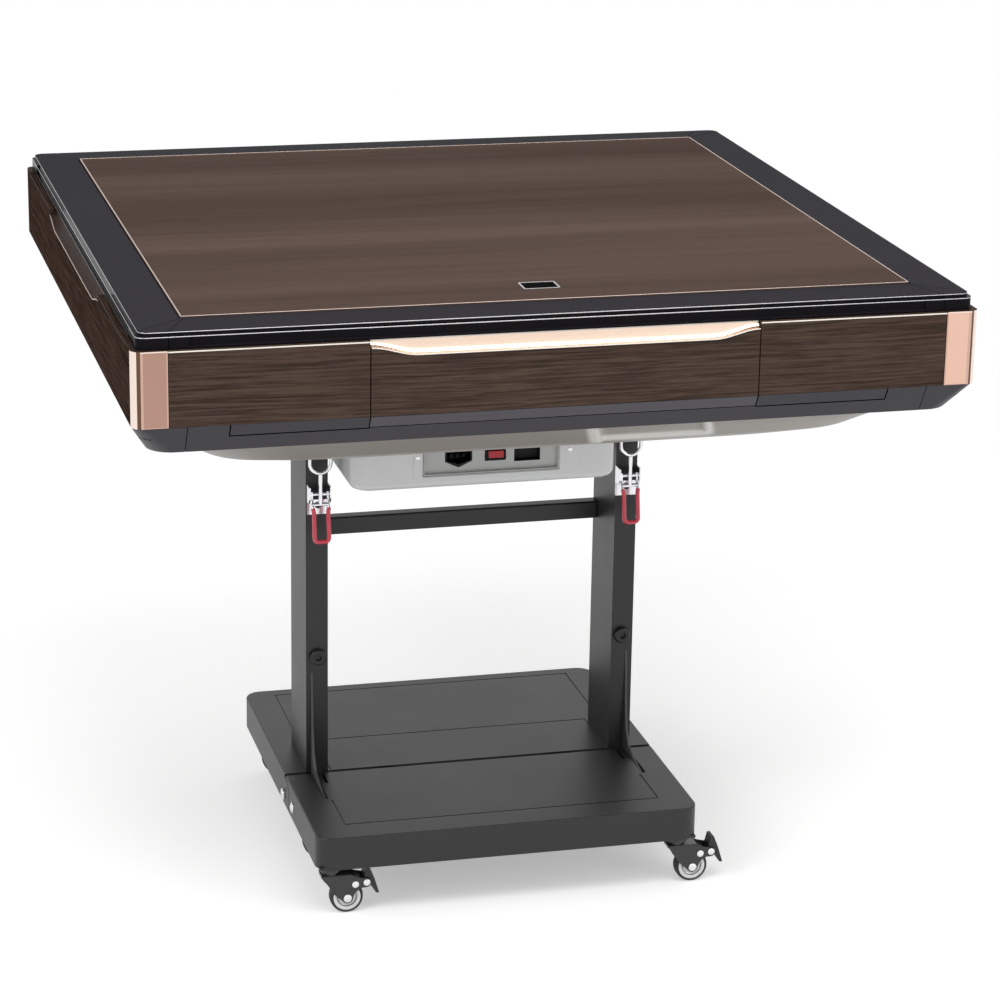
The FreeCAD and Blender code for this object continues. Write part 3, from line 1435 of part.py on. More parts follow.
def socket_panel():
    body = new_body("socket_panel_body")
    lip = [("panel_left + panel_lip", "panel_low + panel_lip"),
           ("panel_right - panel_lip", "panel_low + panel_lip"),
           ("panel_right - panel_lip", "panel_high - panel_lip"),
           ("panel_left + panel_lip", "panel_high - panel_lip")]
    back = "box_front + panel_depth"
    slab(body, "cup", "XZ", lip, "box_front", back)
    flange = [("panel_left - panel_thick", "panel_low - panel_thick"),
              ("panel_right + panel_thick", "panel_low - panel_thick"),
              ("panel_right + panel_thick", "panel_high + panel_thick"),
              ("panel_left - panel_thick", "panel_high + panel_thick")]
    slab(body, "flange", "XZ", flange, "box_front + box_wall", back)
    well = [("panel_left + panel_thick", "panel_low + panel_thick"),
            ("panel_right - panel_thick", "panel_low + panel_thick"),
            ("panel_right - panel_thick", "panel_high - panel_thick"),
            ("panel_left + panel_thick", "panel_high - panel_thick")]
    slab(body, "well", "XZ", well, "box_front", back + " - panel_thick", cut=True)
    inlet = [("inlet_left", "inlet_shoulder"), ("(inlet_left + inlet_right)/2", "inlet_low"),
             ("inlet_right", "inlet_shoulder"), ("inlet_right", "inlet_high"),
             ("inlet_left", "inlet_high")]
    slab(body, "inlet_opening", "XZ", inlet, "box_front", back, cut=True)
    rocker = [("rocker_left", "rocker_low"), ("rocker_right", "rocker_low"),
              ("rocker_right", "rocker_high"), ("rocker_left", "rocker_high")]
    slab(body, "rocker_opening", "XZ", rocker, "box_front", back, cut=True)
    port = [("port_left", "port_low"), ("port_right", "port_low"),
            ("port_right", "port_high"), ("port_left", "port_high")]
    sleeve = [("port_left - panel_thick", "port_low - panel_thick"),
              ("port_right + panel_thick", "port_low - panel_thick"),
              ("port_right + panel_thick", "port_high + panel_thick"),
              ("port_left - panel_thick", "port_high + panel_thick")]
    slab(body, "port_sleeve", "XZ", sleeve, back, back + " + port_depth")
    slab(body, "port_opening", "XZ", port, "box_front", back + " + port_depth - panel_thick",
         cut=True)
    keep(body, "socket_panel")


def power_inlet():
    body = new_body("inlet_body")
    middle = "(inlet_left + inlet_right)/2"
    outline = [("inlet_left + panel_lip", "inlet_shoulder"), (middle, "inlet_low + panel_lip"),
               ("inlet_right - panel_lip", "inlet_shoulder"),
               ("inlet_right - panel_lip", "inlet_high - panel_lip"),
               ("inlet_left + panel_lip", "inlet_high - panel_lip")]
    mouth = "box_front + panel_depth - panel_thick"
    slab(body, "shell", "XZ", outline, mouth, "inlet_back")
    well = [("inlet_left + inlet_wall", "inlet_shoulder + inlet_wall/2"),
            (middle, "inlet_low + 2*inlet_wall"),
            ("inlet_right - inlet_wall", "inlet_shoulder + inlet_wall/2"),
            ("inlet_right - inlet_wall", "inlet_high - inlet_wall"),
            ("inlet_left + inlet_wall", "inlet_high - inlet_wall")]
    slab(body, "well", "XZ", well, mouth, "inlet_back - inlet_floor", cut=True)
    for name, shift in (("left", "- pin_spread"), ("centre", ""), ("right", "+ pin_spread")):
        at = "%s %s" % (middle, shift)
        block(body, name + "_pin", (at + " - pin_half", at + " + pin_half"),
              ("inlet_back - inlet_floor - pin_reach", "inlet_back - inlet_floor"),
              ("pin_z - 2*pin_half", "pin_z + 2*pin_half"))
    keep(body, "power_inlet")


def power_rocker():
    body = new_body("rocker_body")
    front = "box_front + panel_depth - panel_thick"
    high = "rocker_high - bezel"
    low = "rocker_low + bezel"
    middle = "(rocker_low + rocker_high)/2"
    profile = [
        (front + " - rocker_proud", low),
        (front + " - rocker_proud/2", middle),
        (front, high),
        ("rocker_axis_y", high),
        ("rocker_back", middle),
        ("rocker_axis_y", low),
    ]
    slab(body, "paddle", "YZ", profile, "rocker_left + rocker_play", "rocker_right - rocker_play")
    disc(body, "pivot_pin", "YZ", ("rocker_axis_y", middle), "rocker_pin_radius",
         "rocker_left + rocker_play/3", "rocker_right - rocker_play/3")
    keep(body, "power_rocker")


# Removable cover and its flush pull


def cover_panel():
    body = new_body("cover_body")
    square = [("-cover_half", "-cover_half"), ("cover_half", "-cover_half"),
              ("cover_half", "cover_half"), ("-cover_half", "cover_half")]
    slab(body, "panel", "XY", square, "cover_low", "cover_top")
    soften(body, "edge", lambda e: lies_at(e, "z", number("cover_top")), "cover_edge")
    block(body, "pull_seat", ("pull_left - pull_play", "pull_right + pull_play"),
          ("pull_front - pull_play", "pull_back + pull_play"), ("pull_low", "cover_top"), cut=True)
    keep(body, "cover_panel")


def finger_pull():
    body = new_body("pull_body")
    corners = [("pull_left", "pull_front", "pull_round"), ("pull_right", "pull_front", "pull_round"),
               ("pull_right", "pull_back", "pull_round"), ("pull_left", "pull_back", "pull_round")]
    slab(body, "cup", "XY", corners, "pull_low", "cover_top + pull_play")
    well = [("pull_left + pull_wall", "pull_front + pull_wall"),
            ("pull_right - pull_wall", "pull_front + pull_wall"),
            ("pull_right - pull_wall", "pull_back - pull_wall"),
            ("pull_left + pull_wall", "pull_back - pull_wall")]
    slab(body, "well", "XY", well, "pull_low + pull_floor", "cover_top + pull_play", cut=True)
    keep(body, "finger_pull")


# Drawers: drawn at the front, then mirrored to the other three sides


def drawer_pieces():
    board = new_body("front_drawer_board")
    inner = "-apron_half + apron_thick"
    face = [
        ("-drawer_half", "apron_low"),
        ("drawer_half", "apron_low"),
        ("drawer_half", "handle_end_z"),
        ("handle_shoulder", "handle_low"),
        ("-handle_shoulder", "handle_low"),
        ("-drawer_half", "handle_end_z"),
    ]
    slab(board, "board", "XZ", face, "-apron_half", inner)
    handle = new_body("front_drawer_handle")
    strip = [
        ("-drawer_half", "handle_end_z"),
        ("-handle_shoulder", "handle_low"),
        ("handle_shoulder", "handle_low"),
        ("drawer_half", "handle_end_z"),
        ("drawer_half", "apron_high"),
        ("-drawer_half", "apron_high"),
    ]
    slab(handle, "bar", "XZ", strip, "-handle_front", "-handle_back")
    scoop = [
        ("-drawer_half", "handle_end_z + scoop_lip"),
        ("-handle_shoulder", "handle_low + scoop_lip"),
        ("handle_shoulder", "handle_low + scoop_lip"),
        ("drawer_half", "handle_end_z + scoop_lip"),
        ("drawer_half", "apron_high"),
        ("-drawer_half", "apron_high"),
    ]
    slab(handle, "scoop", "XZ", scoop, "-handle_front", "-handle_back - scoop_wall", cut=True)
    tray = new_body("front_drawer_tray")
    block(tray, "bin", ("-bin_half", "bin_half"), (inner, "-bin_back"), ("bin_low", "bin_high"))
    block(tray, "well", ("-bin_half + bin_wall", "bin_half - bin_wall"),
          ("-bin_face", "-bin_back - bin_wall"), ("bin_low + bin_wall", "bin_high"), cut=True)
    slope = "(apron_half - skirt_half)/(apron_low - skirt_low)"
    low_y = "-(skirt_half + (lip_low - skirt_low)*%s)" % slope
    high_y = "-(skirt_half + (lip_high - skirt_low)*%s)" % slope
    lip = [
        (low_y, "lip_low"),
        ("-bin_face", "lip_low"),
        ("-bin_face", "bin_low + bin_wall"),
        (inner, "bin_low + bin_wall"),
        (inner, "lip_high"),
        (high_y, "lip_high"),
    ]
    slab(tray, "lip", "YZ", lip, "-drawer_half", "drawer_half")
    for word, piece in (("front", board), ("handle", handle), ("tray", tray)):
        left = mirror("left_drawer_%s_m" % word, piece, DIAGONAL)
        keep(piece, "drawer_%s_front" % word)
        keep(left, "drawer_%s_left" % word)
        keep(mirror("back_drawer_%s_m" % word, piece, ALONG), "drawer_%s_back" % word)
        keep(mirror("right_drawer_%s_m" % word, left, ACROSS), "drawer_%s_right" % word)


# Build the table from the floor up

for place, stem, depth, braked in CASTERS:
    caster_fork("caster_fork_" + place, stem, depth, braked)
    caster_wheel("caster_wheel_" + place, stem, depth)
    if braked:
        brake_pedal("brake_pedal_" + place, stem, depth)
rear_tray()
front_tray()
fold_pins()
leg("left", -1)
leg("right", 1)
cross_rail()
leg_braces()
leg_bolts()
base_bolts()
latch_base()
latch_lever()
latch_bail()
latch_catches()
tilt_pins()
tilt_brackets()
rim()
apron_panels()
corner_posts()
skirt()
belly_pan()
chassis_frame()
playing_board()
shuffle_drum()
console()
control_box()
socket_panel()
power_inlet()
power_rocker()
cover_panel()
finger_pull()
drawer_pieces()

# Check every object, then write one file per sub-part

doc.recompute()
for item in doc.Objects:
    if "Invalid" in item.State or "Error" in item.State:
        raise RuntimeError("not built: " + item.Label)
os.makedirs("parts", exist_ok=True)
for name, piece in nodes:
    shape = piece.Shape
    if shape.isNull() or not shape.isValid() or not shape.Solids:
        raise RuntimeError("bad shape: " + name)
    shape.exportStep("parts/%s.step" % name)
    print("%-28s %2d solid(s) %9.0f mm3" % (name, len(shape.Solids), shape.Volume))
print(len(nodes), "sub-parts")
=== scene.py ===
# %% [markdown]
# # An automatic mahjong table, dressed for the studio
# The imported CAD part is the frame: every piece below sits on one of its bodies and moves
# with it. We start from an empty room and load that frame.

# %% Load the frame
import json
import math

import bmesh
import bpy
from mathutils import Matrix, Vector

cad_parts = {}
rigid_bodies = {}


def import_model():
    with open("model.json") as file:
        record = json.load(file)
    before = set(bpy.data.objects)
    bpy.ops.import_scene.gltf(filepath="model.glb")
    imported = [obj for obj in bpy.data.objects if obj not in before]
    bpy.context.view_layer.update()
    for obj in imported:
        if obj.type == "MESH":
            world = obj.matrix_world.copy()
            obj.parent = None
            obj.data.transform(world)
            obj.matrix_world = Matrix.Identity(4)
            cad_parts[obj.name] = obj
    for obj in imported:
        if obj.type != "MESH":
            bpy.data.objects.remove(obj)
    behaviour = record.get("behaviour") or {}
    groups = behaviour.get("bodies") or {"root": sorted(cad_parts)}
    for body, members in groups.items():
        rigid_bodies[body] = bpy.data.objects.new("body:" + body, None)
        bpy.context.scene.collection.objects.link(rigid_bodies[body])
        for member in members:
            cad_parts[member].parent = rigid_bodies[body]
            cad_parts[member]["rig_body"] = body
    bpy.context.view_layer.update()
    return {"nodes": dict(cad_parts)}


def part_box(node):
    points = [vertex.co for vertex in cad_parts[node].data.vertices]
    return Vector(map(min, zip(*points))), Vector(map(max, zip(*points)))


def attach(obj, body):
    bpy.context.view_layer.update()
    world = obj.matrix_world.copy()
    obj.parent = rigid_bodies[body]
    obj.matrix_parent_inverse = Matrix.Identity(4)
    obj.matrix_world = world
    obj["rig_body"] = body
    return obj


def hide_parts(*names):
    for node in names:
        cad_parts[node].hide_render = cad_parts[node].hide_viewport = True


for leftover in list(bpy.data.objects):
    bpy.data.objects.remove(leftover)
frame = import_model()
scene = bpy.context.scene
MM = 0.001

# %% [markdown]
# ## Small helpers for nodes
# A material is a small machine of nodes. Two helpers keep the wiring readable: one places a
# node and fills its sockets, the other opens a new node group with named inputs and outputs.

# %% Node helpers
FLOAT, WHOLE, VECTOR = "NodeSocketFloat", "NodeSocketInt", "NodeSocketVector"
COLOUR, GEOMETRY, MATERIAL = "NodeSocketColor", "NodeSocketGeometry", "NodeSocketMaterial"


def place(tree, kind, inputs=None, **settings):
    """Adds a node; an input may be a value or another node's socket."""
    node = tree.nodes.new(kind)
    for word, value in settings.items():
        setattr(node, word, value)
    for word, value in (inputs or {}).items():
        socket = node.inputs[word]
        if isinstance(value, bpy.types.NodeSocket):
            tree.links.new(value, socket)
        else:
            socket.default_value = value
    return node


def open_group(name, takes, gives, kind="ShaderNodeTree"):
    """A new node group; takes and gives are (name, socket kind, start value) lists."""
    tree = bpy.data.node_groups.new(name, kind)
    for word, socket_kind, value in takes:
        socket = tree.interface.new_socket(word, in_out="INPUT", socket_type=socket_kind)
        if value is not None:
            socket.default_value = value
    for word, socket_kind in gives:
        tree.interface.new_socket(word, in_out="OUTPUT", socket_type=socket_kind)
    entry = tree.nodes.new("NodeGroupInput")
    leave = tree.nodes.new("NodeGroupOutput")
    return tree, entry.outputs, leave.inputs


def math_of(tree, operation, first, second=0.0, third=0.0):
    node = place(tree, "ShaderNodeMath", {0: first, 1: second, 2: third}, operation=operation)
    return node.outputs[0]


def mix_colour(tree, share, first, second, blend="MIX"):
    node = place(tree, "ShaderNodeMix", {0: share, 6: first, 7: second},
                 data_type="RGBA", blend_type=blend)
    return node.outputs[2]


def spread(tree, value, low, high, to_low=0.0, to_high=1.0):
    """Maps one range of numbers onto another and stops at its ends."""
    node = place(tree, "ShaderNodeMapRange", {0: value, 1: low, 2: high, 3: to_low, 4: to_high})
    return node.outputs[0]


# %% [markdown]
# ## Surfaces that several finishes share
# Paint, moulded plastic and metal all need the same things: a colour that drifts a little, a
# roughness that isn't the same everywhere, and a fine texture in the surface. One group gives
# all three. Stretching its coordinates turns the same group into a brushed metal.

# %% A fine skin for paint, plastic and metal


def make_fine_skin():
    tree, take, give = open_group(
        "fine_skin",
        [
            ("Vector", VECTOR, None),
            ("Colour", COLOUR, (0.5, 0.5, 0.5, 1)),
            ("Drift", FLOAT, 0.1),
            ("Drift Scale", FLOAT, 12.0),
            ("Grit Scale", FLOAT, 900.0),
            ("Roughness", FLOAT, 0.4),
            ("Roughness Play", FLOAT, 0.08),
        ],
        [
            ("Colour", COLOUR),
            ("Roughness", FLOAT),
            ("Height", FLOAT),
        ],
    )
    cloud = place(tree, "ShaderNodeTexNoise", {
        "Vector": take["Vector"], "Scale": take["Drift Scale"], "Detail": 4.0, "Roughness": 0.6,
    })
    grit = place(tree, "ShaderNodeTexNoise", {
        "Vector": take["Vector"], "Scale": take["Grit Scale"], "Detail": 2.0, "Roughness": 0.5,
    })
    both = math_of(tree, "MULTIPLY_ADD", grit.outputs[0], 0.5,
                   math_of(tree, "MULTIPLY", cloud.outputs[0], 0.5))
    centred = math_of(tree, "SUBTRACT", both, 0.5)
    lift = math_of(tree, "MULTIPLY_ADD", centred,
                   math_of(tree, "MULTIPLY", take["Drift"], 4.0), 1.0)
    tinted = place(tree, "ShaderNodeVectorMath", {0: take["Colour"], 3: lift}, operation="SCALE")
    tree.links.new(tinted.outputs[0], give["Colour"])
    rough = math_of(tree, "MULTIPLY_ADD", centred,
                    math_of(tree, "MULTIPLY", take["Roughness Play"], 4.0), take["Roughness"])
    tree.links.new(math_of(tree, "MAXIMUM", rough, 0.02), give["Roughness"])
    tree.links.new(grit.outputs[0], give["Height"])
    return tree


fine_skin = make_fine_skin()
print("group:", fine_skin.name)

# %% [markdown]
# ## Wood grain
# The apron boards carry a dark reconstituted veneer: fine, nearly black pencil lines along the
# grain on a warm brown ground. The cover is the calmer version of the same veneer, with broad
# smoky bands. Both come from noise that is squeezed across the grain and stretched along it.

# %% The wood group


def make_wood_skin():
    tree, take, give = open_group(
        "wood_skin",
        [
            ("Vector", VECTOR, None),
            ("Pale", COLOUR, (0.1, 0.07, 0.05, 1)),
            ("Dark", COLOUR, (0.02, 0.015, 0.01, 1)),
            ("Band Scale", FLOAT, 10.0),
            ("Line Scale", FLOAT, 120.0),
            ("Line Share", FLOAT, 0.5),
            ("Wander", FLOAT, 0.3),
        ],
        [("Colour", COLOUR), ("Lines", FLOAT), ("Pores", FLOAT)],
    )
    along = place(tree, "ShaderNodeMapping", {"Vector": take["Vector"], "Scale": (0.05, 1, 1)})
    sway = place(tree, "ShaderNodeTexNoise", {
        "Vector": take["Vector"], "Scale": 3.0, "Detail": 1.0,
    })
    swayed = place(tree, "ShaderNodeVectorMath", {
        0: sway.outputs[1], 1: (0.0, 0.012, 0.012), 2: along.outputs[0],
    }, operation="MULTIPLY_ADD")
    bands = place(tree, "ShaderNodeTexNoise", {
        "Vector": swayed.outputs[0], "Scale": take["Band Scale"], "Detail": 5.0,
        "Roughness": 0.55, "Distortion": take["Wander"],
    })
    fibre_path = place(tree, "ShaderNodeMapping", {
        "Vector": swayed.outputs[0], "Scale": (0.5, 1, 1),
    })
    fibre = place(tree, "ShaderNodeTexNoise", {
        "Vector": fibre_path.outputs[0], "Scale": take["Line Scale"], "Detail": 3.0,
        "Roughness": 0.65, "Distortion": 0.15,
    })
    pore_path = place(tree, "ShaderNodeMapping", {
        "Vector": take["Vector"], "Scale": (0.08, 1, 1),
    })
    pores = place(tree, "ShaderNodeTexNoise", {
        "Vector": pore_path.outputs[0], "Scale": 900.0, "Detail": 1.0,
    })
    line_mask = spread(tree, fibre.outputs[0], 0.38, 0.62)
    band_mask = spread(tree, bands.outputs[0], 0.32, 0.68)
    pore_mask = spread(tree, pores.outputs[0], 0.35, 0.7)
    blend = place(tree, "ShaderNodeMix", {
        0: take["Line Share"], 2: band_mask, 3: line_mask,
    }, data_type="FLOAT")
    soft = math_of(tree, "MULTIPLY_ADD", pore_mask, 0.14,
                   math_of(tree, "MULTIPLY", blend.outputs[0], 0.88))
    tree.links.new(mix_colour(tree, soft, take["Dark"], take["Pale"]), give["Colour"])
    tree.links.new(line_mask, give["Lines"])
    tree.links.new(pore_mask, give["Pores"])
    return tree


wood_skin = make_wood_skin()
print("group:", wood_skin.name)

# %% [markdown]
# ## Finishes
# Each finish is its own material with its own Principled shader. Constant values such as the
# coat's roughness are typed straight into the shader; only what changes over the surface comes
# through nodes.

# %% Finish helpers


def new_material(name):
    material = bpy.data.materials.new(name)
    material.use_nodes = True
    material.node_tree.nodes.clear()
    tree = material.node_tree
    shader = place(tree, "ShaderNodeBsdfPrincipled")
    place(tree, "ShaderNodeOutputMaterial", {"Surface": shader.outputs[0]})
    where = place(tree, "ShaderNodeTexCoord").outputs["Object"]
    return material, tree, shader, where


def coated(shader, coat, coat_rough):
    if coat:
        shader.inputs["Coat Weight"].default_value = coat
        shader.inputs["Coat Roughness"].default_value = coat_rough


def plain_finish(name, colour, rough, play=0.06, drift=0.06, drift_scale=9.0, grit=900.0,
                 bump=0.05, bump_depth=0.0002, metal=0.0, coat=0.0, coat_rough=0.05,
                 level=0.5, stretch=(1, 1, 1), sheen=0.0):
    """Paint, plastic or metal from the fine skin."""
    material, tree, shader, where = new_material(name)
    path = place(tree, "ShaderNodeMapping", {"Vector": where, "Scale": stretch})
    skin = place(tree, "ShaderNodeGroup", {
        "Vector": path.outputs[0], "Colour": (*colour, 1), "Drift": drift,
        "Drift Scale": drift_scale, "Grit Scale": grit, "Roughness": rough,
        "Roughness Play": play,
    }, node_tree=fine_skin)
    tree.links.new(skin.outputs["Colour"], shader.inputs["Base Color"])
    tree.links.new(skin.outputs["Roughness"], shader.inputs["Roughness"])
    relief = place(tree, "ShaderNodeBump", {
        "Strength": bump, "Distance": bump_depth, "Height": skin.outputs["Height"],
    })
    tree.links.new(relief.outputs[0], shader.inputs["Normal"])
    shader.inputs["Metallic"].default_value = metal
    shader.inputs["Specular IOR Level"].default_value = level
    shader.inputs["Sheen Weight"].default_value = sheen
    coated(shader, coat, coat_rough)
    return material


def wood_finish(name, pale, dark, bands, lines, line_share, rough, turn=0.0, coat=0.3,
                bump=0.25, wander=0.3, level=0.5):
    """Veneer with its grain along X, or along Y when turned a quarter."""
    material, tree, shader, where = new_material(name)
    path = place(tree, "ShaderNodeMapping", {"Vector": where, "Rotation": (0, 0, turn)})
    skin = place(tree, "ShaderNodeGroup", {
        "Vector": path.outputs[0], "Pale": (*pale, 1), "Dark": (*dark, 1),
        "Band Scale": bands, "Line Scale": lines, "Line Share": line_share, "Wander": wander,
    }, node_tree=wood_skin)
    tree.links.new(skin.outputs["Colour"], shader.inputs["Base Color"])
    tree.links.new(spread(tree, skin.outputs["Lines"], 0, 1, rough + 0.06, rough - 0.05),
                   shader.inputs["Roughness"])
    relief = place(tree, "ShaderNodeBump", {
        "Strength": bump, "Distance": 0.0002, "Height": skin.outputs["Pores"],
    })
    tree.links.new(relief.outputs[0], shader.inputs["Normal"])
    shader.inputs["Specular IOR Level"].default_value = level
    coated(shader, coat, 0.25)
    return material


# %% The finishes of this table
QUARTER = math.pi / 2
cover_veneer = wood_finish("cover_veneer", (0.118, 0.082, 0.070), (0.062, 0.041, 0.034),
                           6.0, 90.0, 0.15, 0.55, coat=0.0, bump=0.08, level=0.0)
apron_veneer = wood_finish("apron_veneer", (0.086, 0.056, 0.042), (0.024, 0.014, 0.011),
                           18.0, 380.0, 0.80, 0.60, coat=0.0, wander=0.5, level=0.08)
# The side veneer is the apron veneer turned a quarter and made darker: the darker tone is painted
# shade.
shaded_side_veneer = wood_finish("shaded_side_veneer", (0.070, 0.044, 0.033), (0.018, 0.010, 0.008),
                          18.0, 380.0, 0.80, 0.65, turn=QUARTER, coat=0.0, wander=0.5,
                          level=0.0)
rim_lacquer = plain_finish("rim_lacquer", (0.009, 0.008, 0.010), 0.22, play=0.03, level=0.02)
rim_satin = plain_finish("rim_satin", (0.020, 0.0185, 0.023), 0.5, play=0.04, level=0.01)
copper_satin = plain_finish("copper_satin", (0.46, 0.275, 0.215), 0.34, play=0.05, metal=1.0,
                            stretch=(1, 1, 0.03), grit=1500.0, bump=0.08)
# A lighter copy of the same copper: painted light on the right posts.
copper_lit = plain_finish("copper_lit", (0.80, 0.52, 0.41), 0.34, play=0.05, metal=1.0,
                          stretch=(1, 1, 0.03), grit=1500.0, bump=0.08)
# A lighter copper: a painted highlight on the posts' beads and foot bands.
copper_edge_highlight = plain_finish("copper_edge_highlight", (0.64, 0.42, 0.34), 0.3, metal=1.0)
# A dark bronze: painted shade on the side faces of the posts, the side strips and the side grips'
# scoops.
shaded_bronze = plain_finish("shaded_bronze", (0.030, 0.016, 0.012), 0.5, level=0.03)
# A dark brown: painted shade in the posts' grooves.
groove_shade_brown = plain_finish("groove_shade_brown", (0.135, 0.070, 0.042), 0.5, level=0.2)
# A pale copper: a painted highlight on the posts' noses and top bands.
copper_nose_highlight = plain_finish("copper_nose_highlight", (0.96, 0.80, 0.72), 0.25, metal=1.0)
rose_metal = plain_finish("rose_metal", (0.93, 0.72, 0.58), 0.28, play=0.05, metal=1.0,
                          stretch=(0.05, 1, 1), grit=1500.0, bump=0.05)
# A cream: a painted highlight on the front and back strips and on the lips and top edges of the
# front and back grips.
cream_highlight = plain_finish("cream_highlight", (0.86, 0.80, 0.73), 0.35, drift=0.02)
champagne_trim = plain_finish("champagne_trim", (0.54, 0.43, 0.375), 0.35, metal=1.0)
# A bright metal: painted highlight lines along the rim's rounded edges.
rim_highlight_metal = plain_finish("rim_highlight_metal", (0.52, 0.51, 0.53), 0.3, metal=1.0)
skirt_mould = plain_finish("skirt_mould", (0.027, 0.0245, 0.032), 0.42, bump=0.1, level=0.3)
# Black: painted shade in the skirt's seams, splits and pressed line, and on the ends of the
# drawers' lips.
seam_shade_black = plain_finish("seam_shade_black", (0.003, 0.003, 0.003), 0.8, level=0.0)
belly_mould = plain_finish("belly_mould", (0.255, 0.235, 0.212), 0.38, drift=0.03, bump=0.08)
box_enamel = plain_finish("box_enamel", (0.68, 0.69, 0.69), 0.35, drift=0.03, coat=0.2)
recess_shade = plain_finish("recess_shade", (0.10, 0.105, 0.10), 0.5)
# The socket panel's grey is its own colour, darkened in part as painted shade of the recess.
socket_grey_and_shade = plain_finish("socket_grey_and_shade", (0.46, 0.47, 0.46), 0.4, drift=0.04)
stand_powder = plain_finish("stand_powder", (0.0115, 0.0115, 0.012), 0.42, play=0.05, drift=0.08,
                            grit=1600.0, bump=0.18, bump_depth=0.0001, level=0.45)
brace_powder = plain_finish("brace_powder", (0.05, 0.05, 0.053), 0.38, grit=1600.0, bump=0.15)
bracket_powder = plain_finish("bracket_powder", (0.04, 0.04, 0.042), 0.42, bump=0.15)
black_oxide = plain_finish("black_oxide", (0.012, 0.012, 0.012), 0.35, metal=0.3)
zinc_plate = plain_finish("zinc_plate", (0.74, 0.74, 0.75), 0.24, metal=1.0, drift=0.1)
latch_chrome = plain_finish("latch_chrome", (0.76, 0.76, 0.79), 0.20, play=0.04, metal=1.0,
                            drift=0.05)
pull_metal = plain_finish("pull_metal", (0.50, 0.49, 0.50), 0.25, metal=1.0)
red_dip = plain_finish("red_dip", (0.62, 0.030, 0.068), 0.28, drift=0.08, coat=0.5)
fork_black = plain_finish("fork_black", (0.014, 0.014, 0.014), 0.3, coat=0.2)
tyre_rubber = plain_finish("tyre_rubber", (0.014, 0.014, 0.014), 0.62, drift=0.15, bump=0.3)
ring_plastic = plain_finish("ring_plastic", (0.78, 0.78, 0.77), 0.4, drift=0.03)
hub_metal = plain_finish("hub_metal", (0.45, 0.45, 0.46), 0.3, metal=1.0, drift=0.12)
pedal_mould = plain_finish("pedal_mould", (0.014, 0.014, 0.014), 0.5, bump=0.2)
inlet_mould = plain_finish("inlet_mould", (0.006, 0.006, 0.006), 0.5, bump=0.1, level=0.2)
red_mould = plain_finish("red_mould", (0.50, 0.015, 0.022), 0.3, coat=0.3)
felt_green = plain_finish("felt_green", (0.012, 0.10, 0.075), 0.95, play=0.03, drift=0.22,
                          drift_scale=40.0, grit=2400.0, bump=0.6, bump_depth=0.0006,
                          level=0.2, sheen=0.5)
chassis_enamel = plain_finish("chassis_enamel", (0.30, 0.31, 0.33), 0.4, drift=0.06)
drum_mould = plain_finish("drum_mould", (0.05, 0.05, 0.06), 0.45, bump=0.15)
console_gloss = plain_finish("console_gloss", (0.014, 0.014, 0.017), 0.15, coat=0.5)
drawer_mould = plain_finish("drawer_mould", (0.040, 0.035, 0.045), 0.45, bump=0.15)
print("finishes:", len(bpy.data.materials))

# %% [markdown]
# ## From solid to skin
# A CAD solid has knife-sharp edges, and no real board or casting does: what the eye reads as
# an edge is a narrow rounded strip that catches the light. So most pieces begin as a copy of
# their solid, with the loose triangles merged and the edges broken by a bevel. The piece then
# replaces the CAD node, which stays in the file for the physics.

# %% Piece helpers
MERGE_WITHIN = 0.004 * MM
FLAT_WITHIN = 0.4


def show(name, mesh, body, replaces=(), materials=()):
    """Puts a finished mesh in the scene, on its body."""
    piece = bpy.data.objects.new(name, mesh)
    scene.collection.objects.link(piece)
    for material in materials:
        mesh.materials.append(material)
    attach(piece, body)
    if replaces:
        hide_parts(*replaces)
    return piece


def smooth(mesh, angle=32):
    mesh.polygons.foreach_set("use_smooth", [True] * len(mesh.polygons))
    mesh.set_sharp_from_angle(angle=math.radians(angle))
    return mesh


def to_mesh(shape, name, angle=32):
    mesh = bpy.data.meshes.new(name)
    bmesh.ops.recalc_face_normals(shape, faces=shape.faces)
    shape.to_mesh(mesh)
    shape.free()
    return smooth(mesh, angle)


def join(name, meshes):
    """Several meshes as one."""
    shape = bmesh.new()
    for mesh in meshes:
        shape.from_mesh(mesh)
    mesh = bpy.data.meshes.new(name)
    shape.to_mesh(mesh)
    shape.free()
    return smooth(mesh, 40)


def ease(piece, width, segments=2, angle=32):
    """Breaks the sharp edges by so many millimetres."""
    bevel = piece.modifiers.new("eased_edges", "BEVEL")
    bevel.width = width * MM
    bevel.segments = segments
    bevel.limit_method = "ANGLE"
    bevel.angle_limit = math.radians(angle)
    bevel.use_clamp_overlap = True
    even = piece.modifiers.new("even_shading", "WEIGHTED_NORMAL")
    even.keep_sharp = False
    even.weight = 60


def body_of(node):
    return frame["nodes"][node]["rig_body"]


def merged_copy(node):
    shape = bmesh.new()
    shape.from_mesh(frame["nodes"][node].data)
    bmesh.ops.remove_doubles(shape, verts=shape.verts, dist=MERGE_WITHIN)
    bmesh.ops.dissolve_limit(shape, angle_limit=math.radians(FLAT_WITHIN), verts=shape.verts,
                             edges=shape.edges)
    return shape


def dress(node, materials, width=0.8, segments=2, paint=None, angle=32, splits=()):
    """A skin over one CAD node; paint(face) picks a face's material number. Each split is a
    place and a direction, where faces are cut in two so that their halves can differ."""
    shape = merged_copy(node)
    for place_at, direction in splits:
        bmesh.ops.bisect_plane(shape, geom=shape.verts[:] + shape.edges[:] + shape.faces[:],
                               plane_co=place_at, plane_no=direction)
    mesh = bpy.data.meshes.new(node + "_skin")
    if paint:
        for face in shape.faces:
            face.material_index = paint(face)
    shape.to_mesh(mesh)
    shape.free()
    mesh.polygons.foreach_set("use_smooth", [True] * len(mesh.polygons))
    piece = show(node + "_skin", mesh, body_of(node), [node], materials)
    ease(piece, width, segments, angle)


